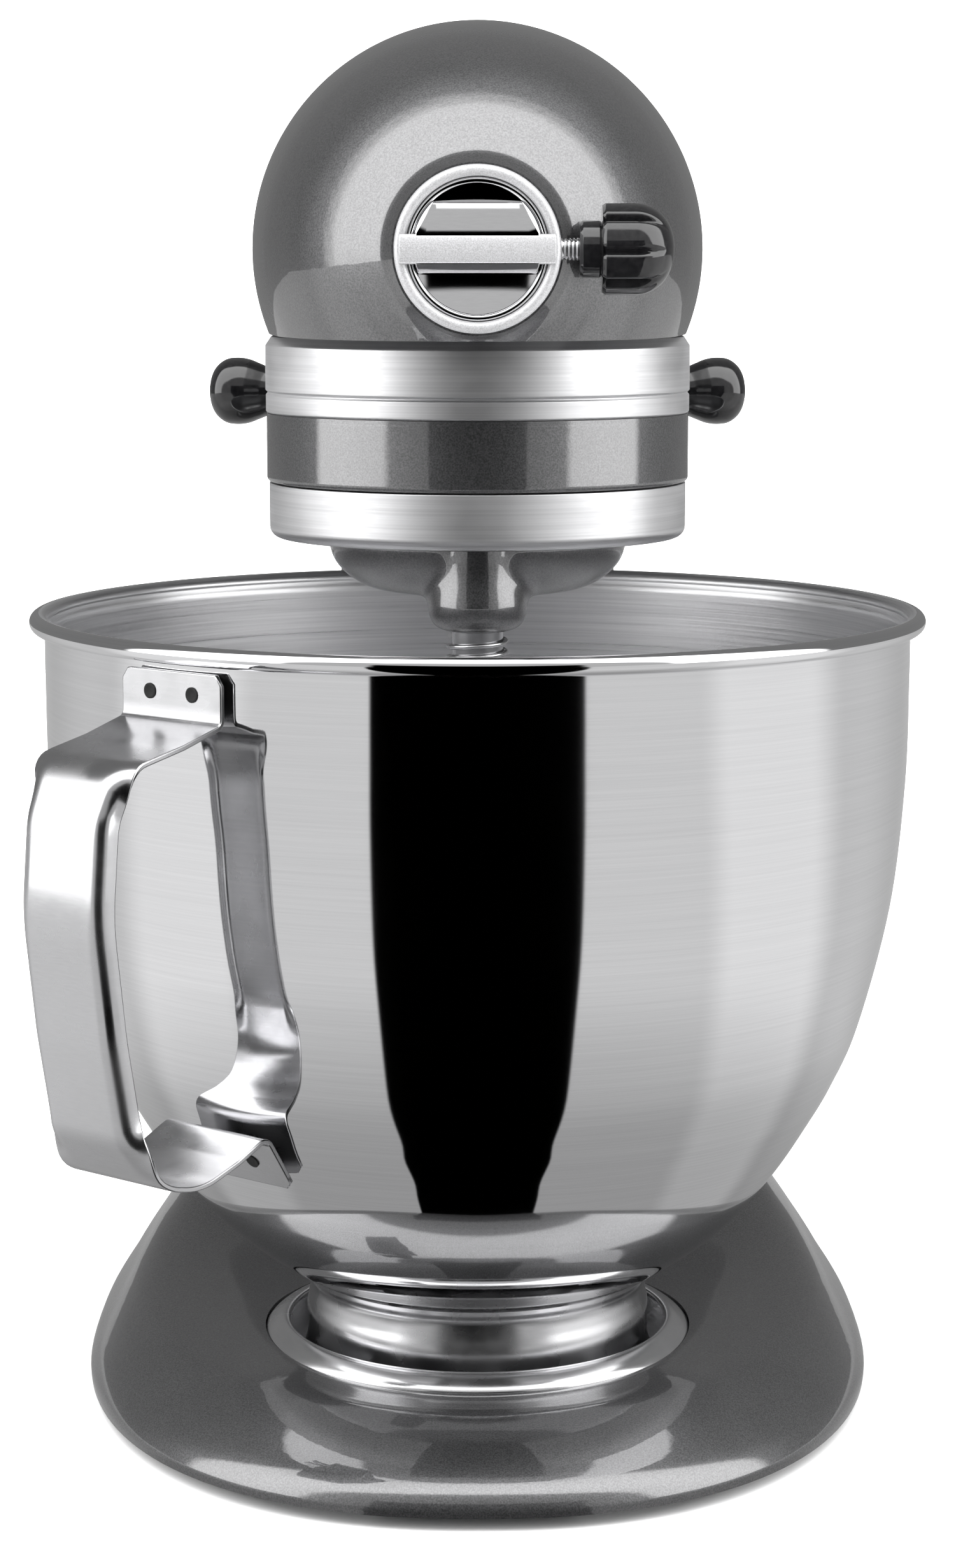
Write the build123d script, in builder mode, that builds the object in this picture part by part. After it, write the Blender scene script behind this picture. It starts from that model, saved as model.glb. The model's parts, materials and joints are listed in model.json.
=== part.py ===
from build123d import *
import math
import os

# Tilt-head stand mixer, in millimetres, +Z up. The origin lies on the table, under the middle
# of the footprint. The attachment hub faces -Y and the column stands at the rear, towards +Y.
# Sketches are drawn on planes through the bowl's axis, so their sizes are distances from it.

# ------------------------------------------------------------------ driving sizes
BOWL_Y = -60.0            # the bowl's axis, ahead of the origin
WALL = 3.5                # castings

HEAD_Z = 296.7            # axis of the round head and of the attachment hub
HEAD_R = 57.0             # largest radius of the head
FRONT_R = 52.5            # round front of the gearcase and of the trim band
HEAD_REAR = 240.0         # end of the head, behind the bowl's axis
REAR_START = 174.0        # where the head starts to round off towards its rear end
COVER_Y = 168.0           # joint between the housing and the end cover

BAND_TOP = 276.0
BAND_BOTTOM = 256.8
CASE_BOTTOM = 239.8
DRIP_BOTTOM = 226.0
FLOOR_TOP = 245.0         # floor inside the gearcase

PIN_Y = 160.0             # hinge pin
PIN_Z = 226.0
PIN_R = 4.75
LUG_HALF = 19.5           # half width of the hinge lug under the head
SLOT_HALF = 20.3          # half width of the slot between the column's ears
COLUMN_TOP = 236.0

GEAR_MODULE = 1.4         # planetary gears
RING_TEETH = 60
PINION_TEETH = 20
BEATER_OFFSET = GEAR_MODULE * (RING_TEETH - PINION_TEETH) / 2
BEATER_R = 6.35
JOURNAL_R = 6.3           # the same shaft above its cross pin
BEATER_END = 163.0        # lower end of the beater shaft
BEATER_PIN_Z = 176.0      # cross pin that drives the beater
BEATER_PIN_R = 2.0
SHAFT_R = 6.0             # vertical centre shaft

BEVEL_R = 12.0            # pitch radius of the hub gear and of the bevel pinion
CENTER_BEVEL_R = 24.0     # pitch radius of the centre bevel gear
BEVEL_FACE = 8.5
WORM_GEAR_R = 12.5
WORM_R = 6.5
MOTOR_Z = HEAD_Z + WORM_GEAR_R + WORM_R
MOTOR_SHAFT_R = 4.0

HUB_R = 18.3
HUB_BORE_R = 13.0
HUB_FACE = -98.0
HUB_KNOB_Y = -88.0

KNOB_Z = 257.9            # lever knobs, beside the lower edge of the trim band
LEVER_X = 34.0
LEVER_Y = 98.0
LEVER_SWEEP = 16.0        # degrees that the levers point rearwards at rest

PLATFORM_TOP = 21.0
CLAMP_R = 54.7
FOOT_R = 44.2

BOWL_WALL = 1.2
HANDLE_AZIMUTH = 39.3     # degrees from the front towards the speed lever's side
HANDLE_WIDTH = 26.0

FIT = 0.04                # radial clearance of running fits

BOWL_AXIS = Axis((0, BOWL_Y, 0), (0, 0, 1))
HEAD_AXIS = Axis((0, BOWL_Y, HEAD_Z), (0, 1, 0))
BEATER_AXIS = Axis((0, BOWL_Y - BEATER_OFFSET, 0), (0, 0, 1))

# Upright planes through the bowl's axis: across the machine, and along it.
SECTION = Plane(origin=(0, BOWL_Y, 0), x_dir=(1, 0, 0), z_dir=(0, -1, 0))
SIDE = Plane(origin=(0, BOWL_Y, 0), x_dir=(0, 1, 0), z_dir=(1, 0, 0))


# ------------------------------------------------------------------ helpers
def level(height, x=0.0, y=0.0):
    """Level plane, centred on the bowl's axis or beside it."""
    return Plane(origin=(x, BOWL_Y + y, height))


def rearward(y, height, x=0.0):
    """Upright plane that faces the rear."""
    return Plane(origin=(x, BOWL_Y + y, height), x_dir=(-1, 0, 0), z_dir=(0, 1, 0))


def rightward(x, y, height):
    """Upright plane that faces +X, with y across it and z up."""
    return Plane(origin=(x, BOWL_Y + y, height), x_dir=(0, 1, 0), z_dir=(1, 0, 0))


def crosswise(y):
    """Upright plane across the machine, with x across it and z as its height."""
    return Plane(origin=(0, BOWL_Y + y, 0), x_dir=(1, 0, 0), z_dir=(0, -1, 0))


def disc(plane, radius, hole=0.0):
    with BuildSketch(plane) as face:
        Circle(radius)
        if hole:
            Circle(hole, mode=Mode.SUBTRACT)
    return face.sketch


def hexagon(plane, radius):
    with BuildSketch(plane) as face:
        RegularPolygon(radius, 6)
    return face.sketch


def block(plane, width, height):
    with BuildSketch(plane) as face:
        Rectangle(width, height)
    return face.sketch


def outline(plane, *points):
    with BuildSketch(plane) as face:
        with BuildLine():
            Polyline(*points, close=True)
        make_face()
    return face.sketch


def toothed(plane, teeth, tip, root, tooth_share=0.40, hole=0.0, start=0.0):
    """Gear outline with tapered teeth, the first one centred on the angle start."""
    step = 2 * math.pi / teeth
    points = []
    for tooth in range(teeth):
        middle = math.radians(start) + tooth * step
        for radius, share in (
            (root, -1.45),
            (tip, -0.72),
            (tip, 0.72),
            (root, 1.45),
        ):
            angle = middle + share * tooth_share * step / 2
            points.append((radius * math.cos(angle), radius * math.sin(angle)))
    with BuildSketch(plane) as face:
        with BuildLine():
            Polyline(*points, close=True)
        make_face()
        if hole:
            Circle(hole, mode=Mode.SUBTRACT)
    return face.sketch


def arc_strip(height, inner, outer, middle, half_angle):
    """Level strip of a ring, half_angle degrees to each side of the angle middle."""
    angles = [math.radians(middle + turn) for turn in (-half_angle, 0, half_angle)]
    inside = [(inner * math.cos(a), inner * math.sin(a)) for a in angles]
    outside = [(outer * math.cos(a), outer * math.sin(a)) for a in angles]
    with BuildSketch(level(height)) as strip:
        with BuildLine():
            ThreePointArc(*inside)
            Line(inside[2], outside[2])
            ThreePointArc(*reversed(outside))
            Line(outside[0], inside[0])
        make_face()
    return strip.sketch


def head_plan(height, inset=0.0):
    """Level outline of the head at its joint: round in front, oval at the rear."""
    half = FRONT_R - inset
    with BuildSketch(level(height)) as plan:
        with BuildLine():
            ThreePointArc((-half, 0), (0, -half), (half, 0))
            Line((half, 0), (half, REAR_START))
            EllipticalCenterArc((0, REAR_START), half, 63 - inset, start_angle=0, arc_size=180)
            Line((-half, REAR_START), (-half, 0))
        make_face()
    return plan.sketch


def head_section(inset=0.0):
    """Half section of the head's skin above its axis, drawn along the machine."""
    shrink = 1 - inset / HEAD_R
    nose = [(-80, 22), (-75.5, 31), (-60, 42.5), (-33, 51), (0, 55.6), (40, HEAD_R)]
    points = [(y + inset * (40 - y) / 130, HEAD_Z + r * shrink) for y, r in nose]
    tip = points[0][0]
    rear = HEAD_REAR - inset - REAR_START
    with BuildSketch(SIDE) as section:
        with BuildLine():
            Line((tip, HEAD_Z), points[0])
            Spline(*points, tangents=((0.35, 1), (1, 0)))
            Line(points[-1], (REAR_START, HEAD_Z + HEAD_R - inset))
            EllipticalCenterArc((REAR_START, HEAD_Z), rear, HEAD_R - inset, start_angle=0, arc_size=90)
            Line((REAR_START + rear, HEAD_Z), (tip, HEAD_Z))
        make_face()
    return section.sketch


def footprint(height, front, half_width, rear):
    """Level outline of the base: a broad round front that narrows towards the rear."""
    half = [(0.512, 0.102), (0.811, 0.349), (0.968, 0.619), (1.0, 1.0)]
    middle = 50.0
    rounded = 100.0
    points = [(0, -front)]
    points += [(half_width * x, -front + (front + middle) * y) for x, y in half]
    with BuildSketch(level(height)) as plan:
        with BuildLine():
            Spline(*points, tangents=((1, 0), (0, 1)))
            Line((half_width, middle), (half_width, rounded))
            EllipticalCenterArc((0, rounded), half_width, rear - rounded, start_angle=0, arc_size=90)
            Line((0, rear), (0, -front))
        make_face()
        mirror(about=Plane.YZ)
    return plan.sketch


def column_section(height, half_width, front, rear, inset=0.0):
    with BuildSketch(level(height, y=(front + rear) / 2)) as plan:
        Ellipse(half_width - inset, (rear - front) / 2 - inset)
    return plan.sketch


# ------------------------------------------------------------------ base: casting
# Height, half width, front and rear of the column, from the flare at its foot to its neck.
COLUMN = [
    (8, 97, 44, 210),
    (22, 90, 54, 208),
    (40, 79, 67, 206),
    (64, 65, 83, 203),
    (95, 53, 99, 201),
    (135, 45, 111, 200),
    (180, 40.5, 116.5, 199),
    (COLUMN_TOP, 40, 118.5, 198),
]
FEET = [(-58, -42), (58, -42), (-76, 118), (76, 118), (0, 190)]

with BuildPart() as pedestal:
    loft(sections=[
        footprint(3.5, 93.4, 104, 214),
        footprint(9.5, 88, 100, 210),
        footprint(15, 75, 89, 203),
        footprint(19, 62, 77, 197),
        footprint(PLATFORM_TOP, 54, 68, 192),
    ])
    loft(sections=[column_section(*row) for row in COLUMN])
    # Hollow underside, with pillars left for the feet.
    with BuildPart(mode=Mode.PRIVATE) as hollow:
        loft(sections=[
            footprint(3, 89.5, 100, 210),
            footprint(7, 83, 95, 206),
            footprint(11.0, 72, 85, 199),
        ])
        loft(sections=[column_section(h - 4, *row, inset=WALL + 0.5) for h, *row in COLUMN[:-1]])
        for x, y in FEET:
            extrude(disc(level(0, x, y), 12), amount=40, mode=Mode.SUBTRACT)
    add(hollow.part, mode=Mode.SUBTRACT)
    # Round seat for the bowl clamp.
    extrude(disc(level(12), CLAMP_R + 0.3), amount=20, mode=Mode.SUBTRACT)
    # Slot between the hinge ears, and the slope behind them that lets the head swing back.
    extrude(outline(SIDE, (126, 208.5), (230, 208.5), (230, 260), (126, 260)),
            amount=SLOT_HALF, both=True, mode=Mode.SUBTRACT)
    extrude(outline(SIDE, (165, 250), (165, 236), (215, 199), (230, 199), (230, 250)),
            amount=60, both=True, mode=Mode.SUBTRACT)
    extrude(disc(rightward(0, PIN_Y, PIN_Z), PIN_R + 0.01), amount=60, both=True,
            mode=Mode.SUBTRACT)
    extrude(disc(rightward(0, 140, PIN_Z), 7), amount=34, mode=Mode.SUBTRACT)
    extrude(disc(level(200, y=129.2), 3.01), amount=20, mode=Mode.SUBTRACT)
    for turn in range(3):
        angle = math.radians(90 + 120 * turn)
        extrude(disc(level(5, 30 * math.cos(angle), 30 * math.sin(angle)), 2.12), amount=10,
                mode=Mode.SUBTRACT)
    for x, y in FEET:
        extrude(disc(level(0, x, y), 2.5), amount=14, mode=Mode.SUBTRACT)
        extrude(disc(level(0, x, y), 14), amount=5, mode=Mode.SUBTRACT)
pedestal.part.label = "pedestal"

with BuildPart() as rubber_feet:
    for x, y in FEET:
        foot = outline(Plane(origin=(x, BOWL_Y + y, 0), x_dir=(1, 0, 0), z_dir=(0, -1, 0)),
                       (0, 0), (9.5, 0), (11, 1.2), (11, 5), (2.5, 5), (2.5, 12), (0, 12))
        revolve(foot, axis=Axis((x, BOWL_Y + y, 0), (0, 0, 1)))
rubber_feet.part.label = "rubber_feet"

# ------------------------------------------------------------------ base: bowl clamp
with BuildPart() as bowl_clamp_plate:
    revolve(outline(SECTION, (0, 12), (CLAMP_R, 12), (CLAMP_R, 21.4), (50.3, 24.1),
                    (49.3, 24.3), (48.4, 23.6), (48.4, 14), (0, 14)), axis=BOWL_AXIS)
    # Three hooks reach in over the lugs of the bowl's foot.
    for turn in range(3):
        extrude(arc_strip(18.4, 46.1, 48.6, 120 * turn + 90, 17), amount=1.8)
    for turn in range(3):
        angle = math.radians(90 + 120 * turn)
        screw_place = level(14, 30 * math.cos(angle), 30 * math.sin(angle))
        extrude(disc(screw_place, 2.1), amount=-3, mode=Mode.SUBTRACT)
bowl_clamp_plate.part.label = "bowl_clamp_plate"

with BuildPart() as clamp_plate_screws:
    for turn in range(3):
        angle = math.radians(90 + 120 * turn)
        x, y = 30 * math.cos(angle), 30 * math.sin(angle)
        extrude(disc(level(10.5, x, y), 2.1), amount=3.6)
        extrude(disc(level(14, x, y), 4.2), amount=2.6)
        extrude(block(level(15.4, x, y), 6, 1), amount=1.2, mode=Mode.SUBTRACT)
clamp_plate_screws.part.label = "clamp_plate_screws"

# ------------------------------------------------------------------ base: hinge and lock
with BuildPart() as hinge_pin:
    extrude(disc(rightward(-39.5, PIN_Y, PIN_Z), PIN_R), amount=79)
    chamfer(hinge_pin.edges().filter_by(GeomType.CIRCLE), 0.8)
hinge_pin.part.label = "hinge_pin"

with BuildPart() as height_screw:
    extrude(disc(level(201, y=129.2), 3), amount=9)
    extrude(block(level(208.8, y=129.2), 8, 1), amount=2, mode=Mode.SUBTRACT)
height_screw.part.label = "height_screw"

with BuildPart() as lock_catch:
    extrude(disc(rightward(SLOT_HALF, 140, PIN_Z), 7, 4.6), amount=8)
lock_catch.part.label = "lock_catch"

# ------------------------------------------------------------------ head: castings
with BuildPart() as head_housing:
    revolve(head_section(), axis=HEAD_AXIS)
    revolve(head_section(WALL), axis=HEAD_AXIS, mode=Mode.SUBTRACT)
    extrude(block(level(BAND_TOP, y=80), 200, 400), amount=-80, mode=Mode.SUBTRACT)
    extrude(block(rearward(COVER_Y, HEAD_Z), 200, 200), amount=100, mode=Mode.SUBTRACT)
    # Underside of the nose, ahead of the joint with the gearcase.
    with BuildPart(mode=Mode.PRIVATE) as nose_floor:
        revolve(head_section(1), axis=HEAD_AXIS)
        extrude(block(level(BAND_TOP), 200, 500), amount=-80, mode=Mode.SUBTRACT)
        extrude(block(level(BAND_TOP + WALL), 200, 500), amount=80, mode=Mode.SUBTRACT)
        extrude(head_plan(BAND_TOP, 6), amount=WALL, mode=Mode.SUBTRACT)
        extrude(block(rearward(COVER_Y, HEAD_Z), 200, 200), amount=100, mode=Mode.SUBTRACT)
    add(nose_floor.part)
    extrude(disc(rearward(-90, HEAD_Z), HUB_R), amount=60, mode=Mode.SUBTRACT)
    # Seats for the brush caps.
    extrude(disc(rightward(-70, 125, MOTOR_Z), 8.1), amount=140, mode=Mode.SUBTRACT)
head_housing.part.label = "head_housing"

with BuildPart() as end_cover:
    revolve(head_section(), axis=HEAD_AXIS)
    revolve(head_section(WALL), axis=HEAD_AXIS, mode=Mode.SUBTRACT)
    extrude(block(level(BAND_TOP, y=80), 200, 400), amount=-80, mode=Mode.SUBTRACT)
    extrude(block(rearward(COVER_Y + 0.4, HEAD_Z), 200, 200), amount=-300, mode=Mode.SUBTRACT)
    # Cooling slots, in two rows across the back.
    for height in (302, 310, 318, 326):
        extrude(block(rearward(215, height), 34, 3), amount=40, mode=Mode.SUBTRACT)
    extrude(disc(rearward(200, 287), 2.22), amount=60, mode=Mode.SUBTRACT)
    extrude(disc(rearward(235.9, 287), 4.3), amount=20, mode=Mode.SUBTRACT)
end_cover.part.label = "end_cover"

with BuildPart() as end_cover_screw:
    extrude(disc(rearward(212, 287), 2.2), amount=24)
    extrude(disc(rearward(236, 287), 4.2), amount=2.4)
    extrude(block(rearward(237.2, 287), 6.4, 1), amount=2, mode=Mode.SUBTRACT)
end_cover_screw.part.label = "end_cover_screw"

with BuildPart() as lower_gearcase:
    extrude(head_plan(CASE_BOTTOM), amount=BAND_BOTTOM - CASE_BOTTOM)
    fillet(lower_gearcase.faces().sort_by(Axis.Z)[0].edges(), 1.5)
    extrude(head_plan(BAND_BOTTOM, 2.4), amount=BAND_TOP - BAND_BOTTOM)
    extrude(head_plan(FLOOR_TOP, 6), amount=BAND_TOP - FLOOR_TOP, mode=Mode.SUBTRACT)
    # Boss for the centre shaft's bearings.
    extrude(disc(level(CASE_BOTTOM), 17), amount=264 - CASE_BOTTOM)
    # Lug that hangs on the hinge pin between the column's ears.
    extrude(outline(SIDE, (130, 245), (130, 216), (133, 212), (166, 212), (174, 220), (174, 245)),
            amount=LUG_HALF, both=True)
    extrude(disc(rightward(0, PIN_Y, PIN_Z), 6.8), amount=30, both=True, mode=Mode.SUBTRACT)
    extrude(disc(rightward(2, 140, PIN_Z), 4.1), amount=30, mode=Mode.SUBTRACT)
    extrude(disc(level(230), 12.6), amount=40, mode=Mode.SUBTRACT)
    # Slots for the levers and the seat of the grommet.
    for x in (-50, 50):
        extrude(block(level(254.4, x, 103), 18, 40), amount=7.2, mode=Mode.SUBTRACT)
    extrude(disc(rearward(220, 251.2), 4.85), amount=40, mode=Mode.SUBTRACT)
    extrude(disc(rearward(220, 251.2), 6.6), amount=9.6, mode=Mode.SUBTRACT)
lower_gearcase.part.label = "lower_gearcase"

with BuildPart() as trim_band:
    extrude(head_plan(BAND_BOTTOM, 0.3), amount=5)
    extrude(head_plan(BAND_BOTTOM + 5, -0.3), amount=BAND_TOP - BAND_BOTTOM - 5.3)
    extrude(head_plan(BAND_BOTTOM, 2.4), amount=BAND_TOP - BAND_BOTTOM, mode=Mode.SUBTRACT)
    for x in (-52, 52):
        extrude(block(level(254.4, x, 103), 12, 40), amount=7.2, mode=Mode.SUBTRACT)
trim_band.part.label = "trim_band"

with BuildPart() as drip_ring:
    revolve(outline(SECTION, (48.2, CASE_BOTTOM), (48.2, 228.5), (49.2, DRIP_BOTTOM), (50.4, DRIP_BOTTOM),
                    (51.6, 227), (52, 228.5), (52, CASE_BOTTOM)), axis=BOWL_AXIS)
drip_ring.part.label = "drip_ring"

with BuildPart() as gearcase_screws:
    for x in (-38, 38):
        for y in (66, 112):
            extrude(disc(level(CASE_BOTTOM - 2.4, x, y), 3.6), amount=2.4)
            extrude(hexagon(level(CASE_BOTTOM - 2.4, x, y), 1.9), amount=1.4, mode=Mode.SUBTRACT)
gearcase_screws.part.label = "gearcase_screws"

with BuildPart() as cord_grommet:
    revolve(outline(SIDE, (226, 255.2), (226, 257.6), (229.4, 257.6), (229.4, 256), (238, 256),
                    (238, 257.6), (240, 257.6), (242, 256), (242, 255.2)),
            axis=Axis((0, BOWL_Y, 251.2), (0, 1, 0)))
cord_grommet.part.label = "cord_grommet"

# ------------------------------------------------------------------ head: attachment hub
with BuildPart() as attachment_hub:
    extrude(disc(rearward(HUB_FACE, HEAD_Z), HUB_R, HUB_BORE_R - 0.5), amount=58)
    extrude(disc(rearward(HUB_FACE, HEAD_Z), HUB_BORE_R), amount=31, mode=Mode.SUBTRACT)
    extrude(disc(rearward(HUB_FACE, HEAD_Z), HUB_BORE_R + 0.6), amount=13.5, mode=Mode.SUBTRACT)
    extrude(disc(rearward(HUB_FACE, HEAD_Z), 16.0), amount=7, mode=Mode.SUBTRACT)
    fillet(attachment_hub.faces().sort_by(Axis.Y)[0].edges().group_by(SortBy.LENGTH)[-1], 0.6)
    extrude(disc(rightward(0, HUB_KNOB_Y, HEAD_Z), 2.55), amount=30, mode=Mode.SUBTRACT)
attachment_hub.part.label = "attachment_hub"

with BuildPart() as hub_cap:
    revolve(outline(SIDE, (-98.6, HEAD_Z + 14.4), (-98.6, HEAD_Z + 15.2), (-98, HEAD_Z + 15.7),
                    (-91.6, HEAD_Z + 15.7), (-91.6, HEAD_Z), (-96.5, HEAD_Z), (-96.2, HEAD_Z + 12),
                    (-96.6, HEAD_Z + 14.4)), axis=HEAD_AXIS)
    extrude(outline(rearward(-100.2, HEAD_Z), (-14.6, 2.6), (14.6, 2.6), (14.6, -2.6), (-14.6, -2.6)),
            amount=4)
    extrude(outline(rearward(-97.5, HEAD_Z), (-14.3, 3.9), (14.3, 3.9), (14.3, -3.9), (-14.3, -3.9)),
            amount=2)
    extrude(disc(rearward(-91.6, HEAD_Z), 10), amount=6)
hub_cap.part.label = "hub_cap"

with BuildPart() as hub_screw:
    extrude(disc(rightward(15.6, HUB_KNOB_Y, HEAD_Z), 2.5), amount=22)
hub_screw.part.label = "hub_screw"

with BuildPart() as hub_knob:
    extrude(disc(rightward(22.6, HUB_KNOB_Y, HEAD_Z), 6.3), amount=5)
    revolve(outline(crosswise(HUB_KNOB_Y), (27.6, HEAD_Z), (27.6, HEAD_Z + 9.4),
                    (28.6, HEAD_Z + 10.2), (36, HEAD_Z + 10.2), (40.5, HEAD_Z + 8.6),
                    (43, HEAD_Z + 5.4), (43.8, HEAD_Z)),
            axis=Axis((0, BOWL_Y + HUB_KNOB_Y, HEAD_Z), (1, 0, 0)))
    extrude(disc(rightward(20, HUB_KNOB_Y, HEAD_Z), 2.5), amount=17.6, mode=Mode.SUBTRACT)
    # Finger flutes.
    for turn in range(8):
        angle = math.radians(45 * turn + 22.5)
        flute = rightward(30, HUB_KNOB_Y + 12.6 * math.cos(angle), HEAD_Z + 12.6 * math.sin(angle))
        extrude(disc(flute, 3.4), amount=16, mode=Mode.SUBTRACT)
hub_knob.part.label = "hub_knob"

# ------------------------------------------------------------------ head: motor
with BuildPart() as motor_stator:
    extrude(disc(rearward(56, MOTOR_Z), 33.2, 22.4), amount=48)
    for side in (-1, 1):
        extrude(block(rearward(56, MOTOR_Z, 40 * side), 20, 60), amount=48, mode=Mode.SUBTRACT)
motor_stator.part.label = "motor_stator"

with BuildPart() as field_windings:
    extrude(disc(rearward(49, MOTOR_Z), 27.8, 23), amount=7)
    extrude(disc(rearward(104, MOTOR_Z), 27.8, 23), amount=7)
    fillet(field_windings.edges().filter_by(GeomType.CIRCLE), 1.5)
    extrude(block(rearward(40, MOTOR_Z), 12, 80), amount=80, mode=Mode.SUBTRACT)
field_windings.part.label = "field_windings"

with BuildPart() as armature:
    extrude(disc(rearward(-14, MOTOR_Z), 3), amount=34)
    extrude(disc(rearward(20, MOTOR_Z), MOTOR_SHAFT_R), amount=162)
    extrude(disc(rearward(58, MOTOR_Z), 21.8), amount=44)
    for turn in range(12):
        angle = math.radians(30 * turn)
        slot = rearward(58, MOTOR_Z + 20.5 * math.sin(angle), 20.5 * math.cos(angle))
        extrude(disc(slot, 2.2), amount=44, mode=Mode.SUBTRACT)
    extrude(disc(rearward(51, MOTOR_Z), 16.5), amount=58)
armature.part.label = "armature"

with BuildPart() as commutator:
    extrude(disc(rearward(114, MOTOR_Z), 13, MOTOR_SHAFT_R), amount=20)
    for turn in range(24):
        angle = math.radians(15 * turn)
        gap = Plane(origin=(13 * math.cos(angle), BOWL_Y + 114, MOTOR_Z + 13 * math.sin(angle)),
                    x_dir=(math.cos(angle), 0, math.sin(angle)), z_dir=(0, 1, 0))
        extrude(block(gap, 2.4, 0.5), amount=20, mode=Mode.SUBTRACT)
commutator.part.label = "commutator"

with BuildPart() as cooling_fan:
    extrude(disc(rearward(34, MOTOR_Z), 10, MOTOR_SHAFT_R), amount=11)
    extrude(disc(rearward(43.5, MOTOR_Z), 29, 9), amount=1.5)
    for turn in range(9):
        angle = math.radians(40 * turn)
        blade = Plane(origin=(19 * math.cos(angle), BOWL_Y + 34.5, MOTOR_Z + 19 * math.sin(angle)),
                      x_dir=(math.cos(angle + 0.35), 0, math.sin(angle + 0.35)), z_dir=(0, 1, 0))
        extrude(block(blade, 19.5, 1.4), amount=9.5)
cooling_fan.part.label = "cooling_fan"

with BuildPart() as governor:
    extrude(disc(rearward(160, MOTOR_Z), 9, MOTOR_SHAFT_R), amount=18)
    extrude(disc(rearward(164, MOTOR_Z), 17, 8), amount=3)
    for side in (-1, 1):
        extrude(block(rearward(167, MOTOR_Z, 13.5 * side), 5, 12), amount=8)
governor.part.label = "governor"

with BuildPart() as worm:
    thread_start = Vector(0, BOWL_Y - 10.5, MOTOR_Z)
    with BuildLine():
        thread = Helix(math.pi * 1.5625, 20, WORM_R - 2.4, center=thread_start, direction=(0, 1, 0))
    radial = (thread @ 0 - thread_start).normalized()
    with BuildSketch(Plane(origin=thread @ 0, x_dir=radial, z_dir=thread % 0)):
        with BuildLine():
            Polyline((0, -1.3), (2.15, -0.6), (2.15, 0.6), (0, 1.3), close=True)
        make_face()
    sweep(path=thread, is_frenet=True)
    extrude(disc(rearward(-13, MOTOR_Z), WORM_R - 2.0), amount=26)
    extrude(disc(rearward(-20, MOTOR_Z), 3), amount=60, mode=Mode.SUBTRACT)
worm.part.label = "worm"

with BuildPart() as motor_bearings:
    extrude(disc(rearward(24.5, MOTOR_Z), 11, MOTOR_SHAFT_R + FIT), amount=7)
    extrude(disc(rearward(142, MOTOR_Z), 10, MOTOR_SHAFT_R + FIT), amount=7)
motor_bearings.part.label = "motor_bearings"

with BuildPart() as front_bearing_plate:
    extrude(disc(rearward(25, HEAD_Z), 50), amount=5)
    extrude(block(rearward(25, BAND_TOP + 0.2 - 50), 200, 100), amount=5, mode=Mode.SUBTRACT)
    extrude(disc(rearward(25, MOTOR_Z), 11), amount=5, mode=Mode.SUBTRACT)
    for side in (-1, 1):
        extrude(disc(rearward(25, 290, 28 * side), 7), amount=5, mode=Mode.SUBTRACT)
front_bearing_plate.part.label = "front_bearing_plate"

with BuildPart() as rear_bearing_bracket:
    extrude(disc(rearward(143, MOTOR_Z), 16), amount=5)
    extrude(block(rearward(143, MOTOR_Z), 10, 67), amount=5)
    extrude(disc(rearward(143, MOTOR_Z), 10), amount=5, mode=Mode.SUBTRACT)
    for side in (-1, 1):
        extrude(block(rearward(104, MOTOR_Z + 30.5 * side), 10, 5), amount=39)
rear_bearing_bracket.part.label = "rear_bearing_bracket"

with BuildPart() as brush_holders:
    for side in (-1, 1):
        extrude(block(rightward(side * 16, 125, MOTOR_Z), 11, 9), amount=side * 33)
        extrude(block(rightward(side * 15, 125, MOTOR_Z), 8, 6), amount=side * 36, mode=Mode.SUBTRACT)
brush_holders.part.label = "brush_holders"

with BuildPart() as carbon_brushes:
    for side in (-1, 1):
        extrude(block(rightward(side * 13.3, 125, MOTOR_Z), 8, 6), amount=side * 17)
carbon_brushes.part.label = "carbon_brushes"

with BuildPart() as brush_caps:
    for side in (-1, 1):
        extrude(disc(rightward(side * 49.2, 125, MOTOR_Z), 8), amount=side * 7)
        extrude(block(rightward(side * 54.8, 125, MOTOR_Z), 12, 1.6), amount=side * 3, mode=Mode.SUBTRACT)
brush_caps.part.label = "brush_caps"

with BuildPart() as speed_control_plate:
    extrude(block(rearward(186, 306), 52, 44), amount=2.4)
    extrude(block(rearward(188.4, 300), 20, 14), amount=8)
    for side in (-1, 1):
        extrude(disc(rearward(148, 300, 22 * side), 2.5), amount=38)
    extrude(disc(rearward(184, MOTOR_Z), 6), amount=20, mode=Mode.SUBTRACT)
speed_control_plate.part.label = "speed_control_plate"

# ------------------------------------------------------------------ head: gears
with BuildPart() as worm_gear_bracket:
    extrude(block(level(264), 62, 22), amount=4)
    for side in (-1, 1):
        extrude(block(level(264, side * 29), 4, 22), amount=HEAD_Z + 7 - 264)
    extrude(disc(level(260), 9), amount=20, mode=Mode.SUBTRACT)
    extrude(disc(rightward(-40, 0, HEAD_Z), 4 + FIT), amount=80, mode=Mode.SUBTRACT)
worm_gear_bracket.part.label = "worm_gear_bracket"

with BuildPart() as worm_gear_shaft:
    extrude(disc(rightward(-32, 0, HEAD_Z), 4), amount=64)
worm_gear_shaft.part.label = "worm_gear_shaft"

with BuildPart() as worm_gear:
    extrude(toothed(rightward(-5, 0, HEAD_Z), 16, WORM_GEAR_R - 0.25, WORM_GEAR_R - 2.6, hole=4),
            amount=10)
worm_gear.part.label = "worm_gear"

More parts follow.
